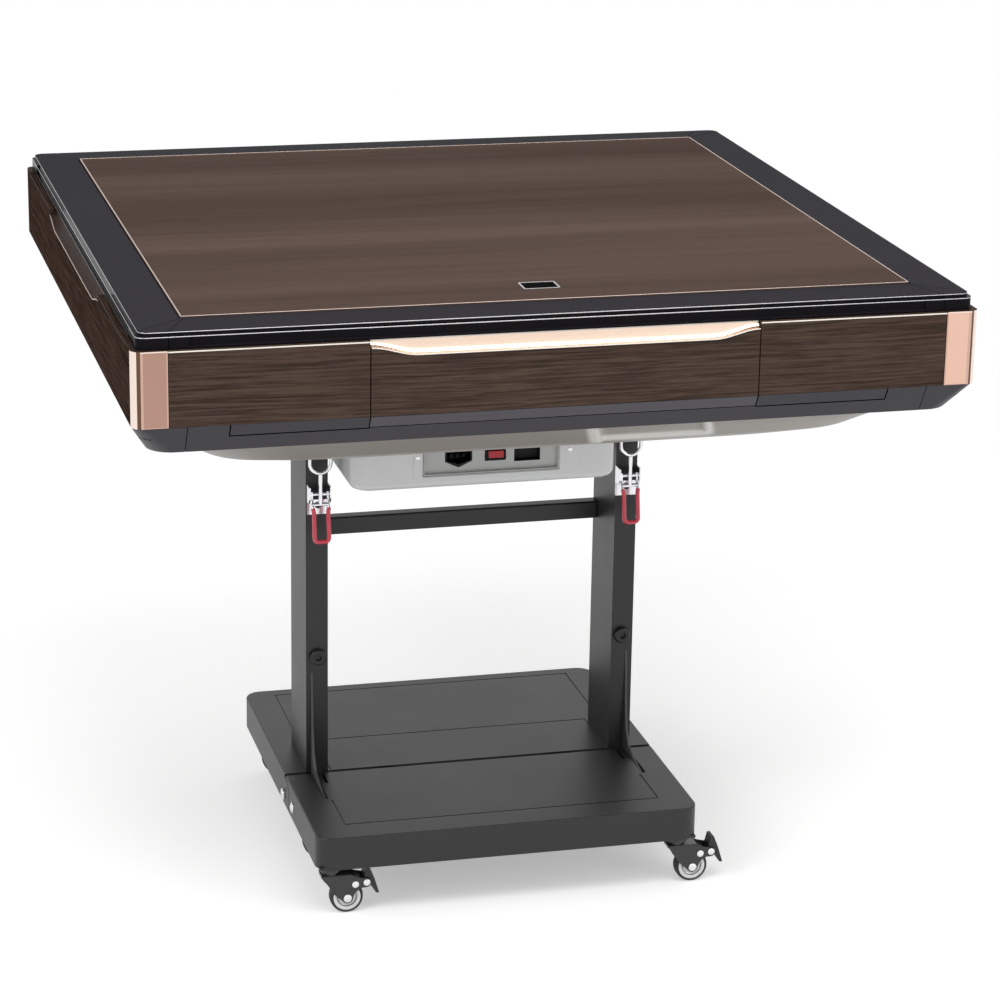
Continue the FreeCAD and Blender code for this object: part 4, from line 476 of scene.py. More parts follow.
# %% [markdown]
# ## The cover and the rim
# The playing field is closed by a square veneered cover with a thin metal line round it. It
# lies inside a rim of black moulding: lacquered on its upright faces, satin on top, so the top
# reads as charcoal and the sides as piano black.

# %% Cover and rim
RIM_SHOULDER = 820 * MM
PULL_RING_FOOT = 822 * MM


def rim_paint(face):
    return 1 if face.normal.z > 0.6 and face.calc_center_median().z > RIM_SHOULDER else 0


dress("cover_panel", [cover_veneer], width=0.9)
for node in ("rim_rails", "rim_corners"):
    dress(node, [rim_lacquer, rim_satin], width=0.7, segments=3, paint=rim_paint, angle=20)
dress("finger_pull", [pull_metal, inlet_mould], width=0.4,
      paint=lambda face: 1 if face.calc_center_median().z < PULL_RING_FOOT else 0)

# %% [markdown]
# The metal line round the cover follows a square path, which is a job for Geometry Nodes: a
# square curve, rounded a little at its corners, carries a tiny flat profile all the way round.
# The tree has named inputs, so the same one can draw any such line. Every tree that grows a
# piece begins with geometry and ends with a finish, so two helpers write those parts.

# %% The swept line as a node tree


def open_grower(name, takes):
    """A geometry node group that also takes a finish."""
    return open_group(name, [("Geometry", GEOMETRY, None), *takes, ("Finish", MATERIAL, None)],
                      [("Geometry", GEOMETRY)], "GeometryNodeTree")


def close_grower(tree, take, give, grown):
    """Makes instances real, sets the finish and hands the geometry out."""
    real = place(tree, "GeometryNodeRealizeInstances", {"Geometry": grown.outputs[0]})
    done = place(tree, "GeometryNodeSetMaterial", {
        "Geometry": real.outputs[0], "Material": take["Finish"],
    })
    tree.links.new(done.outputs[0], give["Geometry"])
    return tree


def make_edge_line():
    tree, take, give = open_grower(
        "square_edge_line",
        [
            ("Half Width", FLOAT, 0.4),
            ("Line Width", FLOAT, 0.0016),
            ("Line Height", FLOAT, 0.0008),
            ("Level", FLOAT, 0.8),
            ("Corner Radius", FLOAT, 0.001),
        ],
    )
    side = math_of(tree, "MULTIPLY", take["Half Width"], 2.0)
    path = place(tree, "GeometryNodeCurvePrimitiveQuadrilateral", {"Width": side, "Height": side})
    eased = place(tree, "GeometryNodeFilletCurve", {
        "Curve": path.outputs[0], "Radius": take["Corner Radius"],
    }, mode="POLY")
    for socket in eased.inputs:
        if socket.name == "Count":
            socket.default_value = 8
    profile = place(tree, "GeometryNodeCurvePrimitiveQuadrilateral", {
        "Width": take["Line Width"], "Height": take["Line Height"],
    })
    swept = place(tree, "GeometryNodeCurveToMesh", {
        "Curve": eased.outputs[0], "Profile Curve": profile.outputs[0],
    })
    lift = place(tree, "ShaderNodeCombineXYZ", {"Z": take["Level"]})
    highlight_amount = place(tree, "GeometryNodeTransform", {
        "Geometry": swept.outputs[0], "Translation": lift.outputs[0],
    })
    return close_grower(tree, take, give, highlight_amount)


def grow(name, tree, base=None, **values):
    """Runs a node tree on a base mesh and returns the plain mesh that comes out."""
    holder = bpy.data.objects.new(name + "_holder", base or bpy.data.meshes.new(name + "_base"))
    scene.collection.objects.link(holder)
    modifier = holder.modifiers.new("grown", "NODES")
    modifier.node_group = tree
    ids = {item.name: item.identifier for item in tree.interface.items_tree
           if item.in_out == "INPUT"}
    for word, value in values.items():
        modifier[ids[word.replace("_", " ")]] = value
    holder.update_tag()
    graph = bpy.context.evaluated_depsgraph_get()
    mesh = bpy.data.meshes.new_from_object(holder.evaluated_get(graph))
    mesh.name = name
    bpy.data.objects.remove(holder)
    return mesh


edge_line = make_edge_line()
SQUARE_LINES = (
    # name, body, half width, line width, line height, level, corner radius, finish
    ("cover_edge_line", "cover", 431.1, 1.6, 0.5, 824.4, 1.0, champagne_trim),
    # The two rim lines are painted highlights along the rim's rounded edges.
    ("rim_upper_highlight", "machine", 487.0, 0.3, 1.0, 821.3, 11.5, rim_highlight_metal),
    ("rim_lower_highlight", "machine", 490.45, 0.3, 1.0, 816.7, 11.5, rim_highlight_metal),
)
for name, body, half, wide, tall, level, corner, finish in SQUARE_LINES:
    mesh = grow(name, edge_line, Half_Width=half * MM, Line_Width=wide * MM,
                Line_Height=tall * MM, Level=level * MM, Corner_Radius=corner * MM,
                Finish=finish)
    show(name, mesh, body)
    print(name + ":", len(mesh.polygons), "faces")

# %% [markdown]
# ## Apron, posts and skirt
# Veneered boards close the four sides. Where they meet, an anodised copper post wraps the
# corner. Below them runs a chamfered moulding with its own corner pieces.

# %% Apron, drawers and skirt
STRIP_LINE = (698.4 * MM, 700.2 * MM)
STRIP_END = (386.4 * MM, 388.2 * MM)
LIP_FROM = 478 * MM
UPRIGHT = 0.1


def veneer_paint(face):
    """Boards on the left and right carry their grain along Y, in a darker copy of the veneer as
    painted shade.
    """
    spot = face.calc_center_median()
    return 1 if abs(spot.x) > abs(spot.y) else 0


def skirt_paint(face):
    """The pressed line round the strip, the seams and the splits are painted black as shade."""
    spot = face.calc_center_median()
    along = min(abs(spot.x), abs(spot.y))
    in_line = STRIP_LINE[0] < spot.z < STRIP_LINE[1]
    at_end = STRIP_END[0] < along < STRIP_END[1] and spot.z > STRIP_LINE[0]
    return 1 if in_line or at_end or abs(face.normal.z) < UPRIGHT else 0


def tray_paint(face):
    """The ends of a drawer's lip, beside the splits, painted black as shade."""
    spot = face.calc_center_median()
    outside = max(abs(spot.x), abs(spot.y)) > LIP_FROM
    return 1 if outside and abs(face.normal.z) < UPRIGHT else 0


dress("apron_panels", [apron_veneer, shaded_side_veneer], width=0.6, paint=veneer_paint)
dress("skirt_rails", [skirt_mould, seam_shade_black], width=0.3, paint=skirt_paint)
dress("skirt_corners", [skirt_mould, seam_shade_black], width=0.5, paint=skirt_paint)
for place_name in ("front", "left", "back", "right"):
    # The side drawer fronts take the darker veneer too, as painted shade.
    veneer = shaded_side_veneer if place_name in ("left", "right") else apron_veneer
    dress("drawer_front_" + place_name, [veneer], width=0.5)
    dress("drawer_tray_" + place_name, [drawer_mould, seam_shade_black], width=0.5, paint=tray_paint)

# %% [markdown]
# A thin strip closes the top edge of each veneered board, just under the rim. Its colour is
# painted light: cream at the front and the back as a painted highlight, dark bronze at the sides
# as painted shade.

# %% The strips under the rim
STRIP_FACE = 497.4
STRIP_BACK = 496.6
STRIP_LEVELS = (800.7, 802.2)
STRIP_SPAN = (229.2, 455.8)


def trim_bar(shape, low, high, turns):
    """Adds one straight bar between two corners, turned by quarters about Z."""
    corners = bmesh.ops.create_cube(shape, size=1)["verts"]
    for vert in corners:
        vert.co = Vector([(a + b) / 2 + share * (b - a)
                          for a, b, share in zip(low, high, vert.co)]) * MM
    bmesh.ops.transform(shape, matrix=Matrix.Rotation(turns * QUARTER, 4, "Z"), verts=corners)


for name, sides, finish in (("apron_strips_front_back", (0, 2), cream_highlight),
                            ("apron_strips_left_right", (1, 3), shaded_bronze)):
    shape = bmesh.new()
    for turns in sides:
        for near, far in (STRIP_SPAN, (-STRIP_SPAN[1], -STRIP_SPAN[0])):
            trim_bar(shape, (near, -STRIP_FACE, STRIP_LEVELS[0]),
                     (far, -STRIP_BACK, STRIP_LEVELS[1]), turns)
    ease(show(name, to_mesh(shape, name), "machine", (), [finish]), 0.2)
print("strips: 8")

# %% [markdown]
# ## Corner posts
# Each post is a length of extruded aluminium: a rounded nose and two flat flanges. On the half
# that faces front or back, a groove and a bead lie beside the nose and a thin bead ends the
# flange. An extrusion is one drawing pulled straight up, so we draw that outline and pull it.
# Each stretch of the drawing names its finish, and much of that colour is painted light: the pale
# nose, the lighter beads and the short bright bands at the top and the foot are painted
# highlights, the dark brown groove and the dark bronze of the half that faces the side are
# painted shade, and the right posts take a lighter copper as painted light.

# %% The extruded posts
POST_LOW, POST_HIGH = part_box("corner_posts")
POST_REACH = POST_HIGH[0]
POST_FLANGE = 40.5 * MM
POST_NOSE = 13.0 * MM
POST_DEPTH = 13.8 * MM
GROOVE_DEEP = 1.2 * MM
FACE_SUNK = 0.4 * MM
BEAD_WIDE = 1.3 * MM
TOP_BAND = 1.5 * MM
FOOT_BAND = 0.9 * MM
PAINTED_HIGHLIGHT, GROOVE_SHADE, COPPER, SHADED_BRONZE, EDGE_HIGHLIGHT, COPPER_LIT = range(6)
# The pale stretches of the nose and the lighter bead are painted highlights; the groove's dark
# brown is painted shade.
NOSE_STEPS = (
    # degrees round the nose, depth, finish of the stretch that starts here
    (45, 0, PAINTED_HIGHLIGHT), (51, 0, PAINTED_HIGHLIGHT), (57, 0, PAINTED_HIGHLIGHT), (59, GROOVE_DEEP, GROOVE_SHADE),
    (67, GROOVE_DEEP, GROOVE_SHADE), (75, GROOVE_DEEP, GROOVE_SHADE), (77, 0, EDGE_HIGHLIGHT), (83, 0, EDGE_HIGHLIGHT),
)


def half_post(grooved, copper):
    """From the middle of the nose to the end of one flange: (along, inwards, finish)."""
    points = []
    for degrees, sunk, finish in NOSE_STEPS:
        angle = math.radians(degrees)
        if not grooved:
            sunk, finish = 0, PAINTED_HIGHLIGHT
        points.append((POST_NOSE - (POST_NOSE - sunk) * math.cos(angle),
                       POST_NOSE - (POST_NOSE - sunk) * math.sin(angle), finish))
    edge = EDGE_HIGHLIGHT if grooved else copper
    points += [(POST_NOSE, 0, edge), (POST_NOSE + FACE_SUNK, FACE_SUNK, copper),
               (POST_FLANGE - BEAD_WIDE - FACE_SUNK, FACE_SUNK, edge),
               (POST_FLANGE - BEAD_WIDE, 0, edge), (POST_FLANGE, 0, SHADED_BRONZE),
               (POST_FLANGE, POST_DEPTH, SHADED_BRONZE)]
    return points


def make_post(sign_x, sign_y):
    """Mirrors the half outline about the corner's diagonal and pulls it up in three bands."""
    # The right posts take the lighter copper as painted light.
    copper = COPPER if sign_x < 0 else COPPER_LIT
    half = half_post(True, copper)
    # The half that faces the side is dark bronze, as painted shade.
    other = half_post(False, SHADED_BRONZE)
    outline = [(a, b) for a, b, finish in half] + [(POST_DEPTH, POST_DEPTH)]
    outline += [(b, a) for a, b, finish in reversed(other[1:])]
    finishes = [finish for a, b, finish in half[:-1]] + [SHADED_BRONZE, SHADED_BRONZE]
    finishes += [finish for a, b, finish in reversed(other[:-1])]
    levels = (POST_LOW[2], POST_LOW[2] + FOOT_BAND, POST_HIGH[2] - TOP_BAND, POST_HIGH[2])
    shape = bmesh.new()
    rows = [[shape.verts.new((sign_x * (POST_REACH - a), sign_y * (POST_REACH - b), level))
             for a, b in outline] for level in levels]
    for row in (rows[0], rows[-1]):
        shape.faces.new(row).material_index = SHADED_BRONZE
    for band, (low, high) in enumerate(zip(rows, rows[1:])):
        for i, finish in enumerate(finishes):
            j = (i + 1) % len(outline)
            face = shape.faces.new((low[i], low[j], high[j], high[i]))
            # The bands at the top and the foot take a painted highlight.
            highlight_band = band != 1 and finish in (COPPER, COPPER_LIT, EDGE_HIGHLIGHT)
            face.material_index = (EDGE_HIGHLIGHT if band == 0 else PAINTED_HIGHLIGHT) if highlight_band else finish
    return to_mesh(shape, "post", angle=24)


posts = [make_post(sign_x, sign_y) for sign_x in (-1, 1) for sign_y in (-1, 1)]
show("corner_posts_skin", join("corner_posts_skin", posts), "machine",
     ["corner_posts"], [copper_nose_highlight, groove_shade_brown, copper_satin, shaded_bronze, copper_edge_highlight,
                        copper_lit])
print("posts:", len(posts))

# %% [markdown]
# ## Drawer grips
# The grip is a rose gold moulding along the drawer's top edge: deep in the middle and thinner at
# both ends. On the side grips the scoop is dark bronze, as painted shade. Its face is a scoop, so
# that fingertips find the lip at its foot. We loft its section along the drawer, station by
# station; each row of faces keeps its place in the section, so the lip and the top edge can take
# a paler colour than the scoop as a painted highlight: cream at the front and the back, champagne
# at the sides.

# %% The scooped grip
GRIP_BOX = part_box("drawer_handle_front")
GRIP_HALF = GRIP_BOX[1][0] / MM - 0.3
GRIP_FRONT = -GRIP_BOX[0][1] / MM - 0.1
GRIP_BACK = -GRIP_BOX[1][1] / MM
GRIP_TOP = GRIP_BOX[1][2] / MM - 0.1
GRIP_LOW_Z = GRIP_BOX[0][2] / MM + 0.1
GRIP_END_Z = 794.0
GRIP_SHOULDER = 174.0
LIP_TALL = 1.3
WALL_THICK = 2.6
TOP_EDGE = 1.5
TOP_SET_BACK = 0.8
FRONT_CUT = 0.5
DRAFT = 0.2
SCOOP_STEPS = 8
SCOOP_FACES = range(4, 4 + SCOOP_STEPS)
GRIP_STATIONS = 64


def eased_share(value, low, high):
    share = min(max((value - low) / (high - low), 0.0), 1.0)
    return share * share * (3 - 2 * share)


def grip_section(x):
    """Points of the bar's section as (distance from the middle, height)."""
    low = GRIP_LOW_Z + (GRIP_END_Z - GRIP_LOW_Z) * eased_share(abs(x), GRIP_SHOULDER, GRIP_HALF)
    lip = low + LIP_TALL
    rim_edge = GRIP_FRONT - TOP_SET_BACK
    wall = GRIP_BACK + WALL_THICK
    points = [(GRIP_BACK, low), (GRIP_FRONT - FRONT_CUT, low), (GRIP_FRONT, low + FRONT_CUT),
              (GRIP_FRONT - DRAFT, lip)]
    for i in range(SCOOP_STEPS + 1):
        angle = QUARTER * i / SCOOP_STEPS
        points.append((wall + (rim_edge - wall) * (1 - math.sin(angle)),
                       lip + (GRIP_TOP - TOP_EDGE - lip) * (1 - math.cos(angle))))
    points += [(wall - DRAFT, GRIP_TOP), (GRIP_BACK, GRIP_TOP)]
    return points


def make_grip(turns, name, body, node, scoop):
    shape = bmesh.new()
    stations = []
    for i in range(GRIP_STATIONS + 1):
        x = -GRIP_HALF + 2 * GRIP_HALF * i / GRIP_STATIONS
        stations.append([shape.verts.new(Vector((x, -y, z)) * MM) for y, z in grip_section(x)])
    for first, second in zip(stations, stations[1:]):
        for j in range(len(first)):
            k = (j + 1) % len(first)
            face = shape.faces.new((first[j], second[j], second[k], first[k]))
            face.material_index = 1 if j in SCOOP_FACES else (2 if j else 0)
    shape.faces.new(stations[0])
    shape.faces.new(list(reversed(stations[-1])))
    bmesh.ops.transform(shape, matrix=Matrix.Rotation(turns * QUARTER, 4, "Z"), verts=shape.verts)
    mesh = to_mesh(shape, name, angle=38)
    # The lip and the top edge take a paler colour as a painted highlight: cream at the front and
    # the back, champagne at the sides.
    lip = champagne_trim if scoop is shaded_bronze else cream_highlight
    show(name, mesh, body, [node], [rose_metal, scoop, lip])


# The side grips take the dark bronze in their scoops as painted shade.
for turns, place_name in ((0, "front"), (1, "right"), (2, "back"), (3, "left")):
    make_grip(turns, "drawer_grip_" + place_name, "drawer_" + place_name,
              "drawer_handle_" + place_name, shaded_bronze if turns % 2 else rose_metal)
print("grips:", round(2 * GRIP_HALF, 1), "mm long")

# %% [markdown]
# ## The belly
# Under the skirt hangs a shallow moulded pan whose outline is a square with ever rounder
# corners on the way down. That is a rule, so Geometry Nodes can draw it: a grid is wrapped
# round the middle, and each ring's size, roundness and height follow three short curves.

# %% The belly as a node tree


def steps_of(tree, value, marks):
    """A number that follows straight lines between (place, height) marks."""
    curve = place(tree, "ShaderNodeFloatCurve", {"Value": value})
    points = curve.mapping.curves[0].points
    points[0].location = marks[0]
    points[1].location = marks[-1]
    for mark in marks[1:-1]:
        points.new(*mark)
    for point in points:
        point.handle_type = "VECTOR"
    curve.mapping.update()
    return curve.outputs[0]


def make_dish():
    tree, take, give = open_grower(
        "dished_pan",
        [
            ("Mouth Half", FLOAT, 0.446),
            ("Depth", FLOAT, 0.057),
            ("Top Level", FLOAT, 0.677),
            ("Around", WHOLE, 256),
            ("Rings", WHOLE, 48),
        ],
    )
    grid = place(tree, "GeometryNodeMeshGrid", {
        "Size X": 1.0, "Size Y": 1.0, "Vertices X": take["Around"], "Vertices Y": take["Rings"],
    })
    spot = place(tree, "ShaderNodeSeparateXYZ", {
        0: place(tree, "GeometryNodeInputPosition").outputs[0],
    })
    around = math_of(tree, "MULTIPLY", math_of(tree, "ADD", spot.outputs[0], 0.5), math.tau)
    down = math_of(tree, "ADD", spot.outputs[1], 0.5)
    cosine = math_of(tree, "COSINE", around)
    sine = math_of(tree, "SINE", around)
    # share of the mouth's half width, share of the depth and squareness, from rim to middle
    size = steps_of(tree, down, [(0, 1), (0.08, 0.978), (0.30, 0.930), (0.45, 0.875),
                                 (0.62, 0.795), (0.80, 0.742), (0.86, 0.715), (1, 0)])
    fall = steps_of(tree, down, [(0, 0), (0.08, 0.03), (0.30, 0.34), (0.45, 0.66),
                                 (0.62, 0.88), (0.80, 0.985), (0.86, 1), (1, 1)])
    square = steps_of(tree, down, [(0, 1), (0.45, 0.68), (0.80, 0.52), (1, 0.5)])
    power = math_of(tree, "MULTIPLY", square, 16.0)
    first = math_of(tree, "POWER", math_of(tree, "ABSOLUTE", cosine), power)
    second = math_of(tree, "POWER", math_of(tree, "ABSOLUTE", sine), power)
    whole = math_of(tree, "POWER", math_of(tree, "ADD", first, second),
                    math_of(tree, "DIVIDE", -1.0, power))
    reach = math_of(tree, "MULTIPLY", math_of(tree, "MULTIPLY", whole, size), take["Mouth Half"])
    target = place(tree, "ShaderNodeCombineXYZ", {
        "X": math_of(tree, "MULTIPLY", cosine, reach),
        "Y": math_of(tree, "MULTIPLY", sine, reach),
        "Z": math_of(tree, "SUBTRACT", take["Top Level"],
                     math_of(tree, "MULTIPLY", fall, take["Depth"])),
    })
    moved = place(tree, "GeometryNodeSetPosition", {
        "Geometry": grid.outputs[0], "Position": target.outputs[0],
    })
    closed = place(tree, "GeometryNodeMergeByDistance", {
        "Geometry": moved.outputs[0], "Distance": 0.00002,
    })
    return close_grower(tree, take, give, closed)


dish = make_dish()
mesh = grow("belly_skin", dish, Mouth_Half=460.3 * MM, Depth=61.0 * MM, Top_Level=681.1 * MM,
            Around=769, Rings=49, Finish=belly_mould)
print("pan:", len(mesh.polygons), "faces")

# %% [markdown]
# The front of the pan has two pressed ridges with a sunk panel between them, and they lean with
# the slope. The light on the ridges and on the lip under the panel is painted: the mesh carries a
# number at each point, and the material mixes a paler colour in where that number is high, as a
# painted highlight.

# %% Ridges and panel


def mix_in_painted_highlight(material, pale):
    """Mixes a paler colour in as a painted highlight where the mesh's own attribute is high."""
    tree = material.node_tree
    shader = next(node for node in tree.nodes if node.type == "BSDF_PRINCIPLED")
    plain = shader.inputs["Base Color"].links[0].from_socket
    share = place(tree, "ShaderNodeAttribute", attribute_name="highlight_amount").outputs["Fac"]
    tree.links.new(mix_colour(tree, share, plain, (*pale, 1)), shader.inputs["Base Color"])


LEAN = 0.53
LEAN_FROM = 662.0
RIDGE_OUT, SECOND_OUT, PANEL_IN = 3.0, 2.4, 3.6
FRONT_FROM = -300 * MM
RIDGE_LEVELS = (630 * MM, 680.5 * MM)
FADE_LEVELS = (630, 640)


def between(value, rise, fall):
    """One between two slopes, each a (start, end) pair, and nothing outside them."""
    return eased_share(value, *rise) - eased_share(value, *fall)


def pressed(x, z):
    """How far the pan's front is pressed out at a place, in millimetres. The lines run down
    the slope and lean a little to the right."""
    x -= (LEAN_FROM - z) * LEAN
    above_lip = eased_share(z, 648.5, 651.5)
    ridge = between(x, (41, 47), (55, 61))
    second = between(x, (184, 189), (194, 199))
    panel = between(x, (59, 65), (182, 187)) * above_lip
    return RIDGE_OUT * ridge + SECOND_OUT * second * above_lip - PANEL_IN * panel


def painted_highlight_share(x, z):
    """The share of painted highlight at a place: on the ridges, and on the lip under the panel.
    """
    x -= (LEAN_FROM - z) * LEAN
    first = between(x, (40, 46), (54, 62))
    lip = between(z, (640, 645), (650, 655)) * between(x, (54, 62), (190, 198))
    second = between(x, (183, 188), (193, 199)) * eased_share(z, 641, 646)
    return max(0.0, first, lip, second)


# The paler colour is a painted highlight on the ridges and on the lip under the panel.
mix_in_painted_highlight(belly_mould, (0.62, 0.60, 0.57))
shape = bmesh.new()
shape.from_mesh(mesh)
highlight_amount = shape.verts.layers.float.new("highlight_amount")
for vert in shape.verts:
    if vert.co.y < FRONT_FROM and RIDGE_LEVELS[0] < vert.co.z < RIDGE_LEVELS[1]:
        fade = eased_share(vert.co.z / MM, *FADE_LEVELS)
        vert[highlight_amount] = painted_highlight_share(vert.co.x / MM, vert.co.z / MM) * fade
        vert.co.y -= pressed(vert.co.x / MM, vert.co.z / MM) * fade * MM
bmesh.ops.recalc_face_normals(shape, faces=shape.faces)
if sum(face.normal.z * face.calc_area() for face in shape.faces) > 0:
    bmesh.ops.reverse_faces(shape, faces=shape.faces)
shape.to_mesh(mesh)
shape.free()
smooth(mesh, 40)
belly = show("belly_skin", mesh, "machine", ["belly_pan"])
wall = belly.modifiers.new("pan_wall", "SOLIDIFY")
wall.thickness = 2.2 * MM
wall.offset = -1
print("belly:", len(mesh.polygons), "faces")

# %% [markdown]
# ## Control box
# A light grey steel box hangs under the belly. A shallow recess in its front holds the mains
# inlet, the red power rocker and a service port, with a raised frame round them.

# %% Control box and sockets
RECESS_FACE = -124.0 * MM
RECESS_MOUTH = -130.2 * MM
RECESS_LEFT = -78 * MM
RECESS_FLOOR = 530 * MM
FACING = 0.7
HOLES_FROM = -123.4 * MM
RED_SPAN = (3 * MM, 22.5 * MM)
RED_LOW = 542.5 * MM


def box_paint(face):
    """The floor and the left wall of the recess lie in shadow."""
    spot = face.calc_center_median()
    inside = RECESS_MOUTH < spot.y < RECESS_FACE + 0.5 * MM
    floor = face.normal.z > FACING and spot.z < RECESS_FLOOR
    wall = face.normal.x > FACING and spot.x < RECESS_LEFT
    return 1 if inside and (floor or wall) else 0


def rocker_paint(face):
    """The rocker is red in its middle and black round it."""
    spot = face.calc_center_median()
    return 0 if RED_SPAN[0] < spot.x < RED_SPAN[1] and spot.z > RED_LOW else 1


dress("control_box", [box_enamel, recess_shade], width=1.2, segments=3, paint=box_paint)
dress("socket_panel", [socket_grey_and_shade, inlet_mould], width=0.4,
      paint=lambda face: 1 if face.calc_center_median().y > HOLES_FROM else 0)
dress("power_inlet", [inlet_mould], width=0.3)
dress("power_rocker", [red_mould, inlet_mould], width=0.5, segments=3, paint=rocker_paint,
      splits=[((RED_SPAN[0], 0, 0), (1, 0, 0)), ((RED_SPAN[1], 0, 0), (1, 0, 0)),
              ((0, 0, RED_LOW), (0, 0, 1))])


def rounded_loop(left, right, low, high, radius, steps=5):
    """A rectangle with round corners in the XZ plane, as (x, z) pairs in millimetres."""
    points = []
    for centre_x, centre_z, start in ((right - radius, high - radius, 0),
                                      (left + radius, high - radius, 90),
                                      (left + radius, low + radius, 180),
                                      (right - radius, low + radius, 270)):
        for i in range(steps + 1):
            angle = math.radians(start + 90 * i / steps)
            points.append((centre_x + radius * math.cos(angle),
                           centre_z + radius * math.sin(angle)))
    return points


def flat_frame(name, outer, inner, front, back, finish, width):
    """A flat ring between two rounded rectangles, facing the front."""
    shape = bmesh.new()
    rings = [[shape.verts.new(Vector((x, y, z)) * MM) for x, z in loop]
             for loop, y in ((outer, back), (outer, front), (inner, front), (inner, back))]
    for first, second in zip(rings, rings[1:] + rings[:1]):
        for i in range(len(first)):
            j = (i + 1) % len(first)
            shape.faces.new((first[i], first[j], second[j], second[i]))
    ease(show(name, to_mesh(shape, name), "machine", (), [finish]), width, 2, 50)


flat_frame("socket_frame", rounded_loop(-94.5, 121, 516.5, 592, 8),
           rounded_loop(-83, 95, 522.8, 585.2, 2), -130.9, -129.6, box_enamel, 0.4)
flat_frame("rocker_bezel", rounded_loop(-4.5, 28.5, 535.8, 555.2, 2),
           rounded_loop(-1.9, 25.9, 538.0, 553.0, 1), -125.4, -123.9, inlet_mould,
           0.3)

# %% [markdown]
# ## Stand
# Two rectangular tubes carry the machine. They stand on a pressed steel tray in two halves;
# the front half folds up. All of it is black powder coat, whose tiny orange peel softens the
# reflections.

# %% Trays, legs and braces
STAND = (
    # node, finish, width of the eased edge in millimetres, steps in it
    ("rear_tray", stand_powder, 1.0, 2), ("front_tray", stand_powder, 1.0, 2),
    ("leg_left", stand_powder, 1.6, 3), ("leg_right", stand_powder, 1.6, 3),
    ("cross_rail", stand_powder, 1.2, 2), ("leg_braces", brace_powder, 0.6, 2),
    ("leg_bolts", black_oxide, 0.6, 3), ("base_bolts", zinc_plate, 0.4, 2),
    ("tilt_pins", zinc_plate, 0.6, 2), ("tilt_brackets", bracket_powder, 0.8, 2),
    ("latch_catches", latch_chrome, 0.5, 2),
)
for node, finish, width, segments in STAND:
    dress(node, [finish], width, segments)
print("stand:", len(STAND), "pieces")

# %% Latch bases
LATCH_SCREW = (203 * MM, 473.6 * MM)
LATCH_SCREW_REACH = 4.3 * MM
LATCH_SCREW_BACK = -64.2 * MM
LATCH_SPLIT = 481.0 * MM
LATCH_PLATE_FACE = -64.5 * MM


def latch_paint(face):
    """The screw that holds each latch is black; the plate between the cheeks, above the split, is
    painted black as shade.
    """
    spot = face.calc_center_median()
    off = math.hypot(abs(spot.x) - LATCH_SCREW[0], spot.z - LATCH_SCREW[1])
    screw = off < LATCH_SCREW_REACH and spot.y < LATCH_SCREW_BACK
    plate = face.normal.y < -0.9 and spot.z > LATCH_SPLIT and spot.y > LATCH_PLATE_FACE
    return 1 if screw or plate else 0


dress("latch_bases", [latch_chrome, black_oxide], width=0.4, paint=latch_paint,
      splits=[((0, 0, LATCH_SPLIT), (0, 0, 1))])

# %% [markdown]
# ## Bent wire
# The latch's lever and bail are bent from wire. A helper walks along a path, rounds its
# corners, and pulls a circle along it; both ends are closed.

# %% Wire helper


def rounded_path(points, radius, closed=False, steps=6):
    """Replaces each corner of a path by an arc of points."""
    count = len(points)
    result = []
    for i, point in enumerate(points):
        point = Vector(point)
        if not closed and i in (0, count - 1):
            result.append(point)
            continue
        before = Vector(points[i - 1]) - point
        after = Vector(points[(i + 1) % count]) - point
        reach = min(radius, before.length / 2.05, after.length / 2.05)
        start = point + before.normalized() * reach
        end = point + after.normalized() * reach
        for j in range(steps + 1):
            t = j / steps
            result.append(start * (1 - t) ** 2 + point * 2 * t * (1 - t) + end * t ** 2)
    return result


def bend_wire(name, path, thickness, closed=False, sides=16):
    """A round wire along a path in millimetres."""
    shape = bmesh.new()
    rings = []
    count = len(path)
    previous = None
    for i, point in enumerate(path):
        if closed:
            ahead = path[(i + 1) % count] - path[i - 1]
        else:
            ahead = path[min(i + 1, count - 1)] - path[max(i - 1, 0)]
        ahead.normalize()
        if previous is None:
            seed = Vector((1, 0, 0)) if abs(ahead.x) < 0.9 else Vector((0, 1, 0))
            across = ahead.cross(seed).normalized()
        else:
            across = (previous - ahead * previous.dot(ahead)).normalized()
        previous = across
        up = ahead.cross(across)
        ring = []
        for k in range(sides):
            angle = math.tau * k / sides
            offset = across * math.cos(angle) + up * math.sin(angle)
            ring.append(shape.verts.new((point + offset * thickness / 2) * MM))
        rings.append(ring)
    pairs = list(zip(rings, rings[1:])) + ([(rings[-1], rings[0])] if closed else [])
    for first, second in pairs:
        for k in range(sides):
            j = (k + 1) % sides
            shape.faces.new((first[k], first[j], second[j], second[k]))
    if not closed:
        shape.faces.new(list(reversed(rings[0])))
        shape.faces.new(rings[-1])
    return to_mesh(shape, name, angle=50)


# %% Levers and bails
LATCH_X = 203.0
LEVER_PIVOT = (-76.0, 492.0)
BAIL_PIVOT = (-81.5, 480.0)
ARM_OUT = 10.3
SLEEVE_TOP = (-84.2, 476.0)
SLEEVE_KINK = (-86.0, 471.0)
SLEEVE_END = (-92.0, 433.5)
SLEEVE_THICK = 5.6
LOOP_CORNERS = ((-13.4, 546.2), (-13.4, 527.0), (0, 518.6), (13.4, 527.0), (13.4, 546.2))
LOOP_WIRE = 4.6

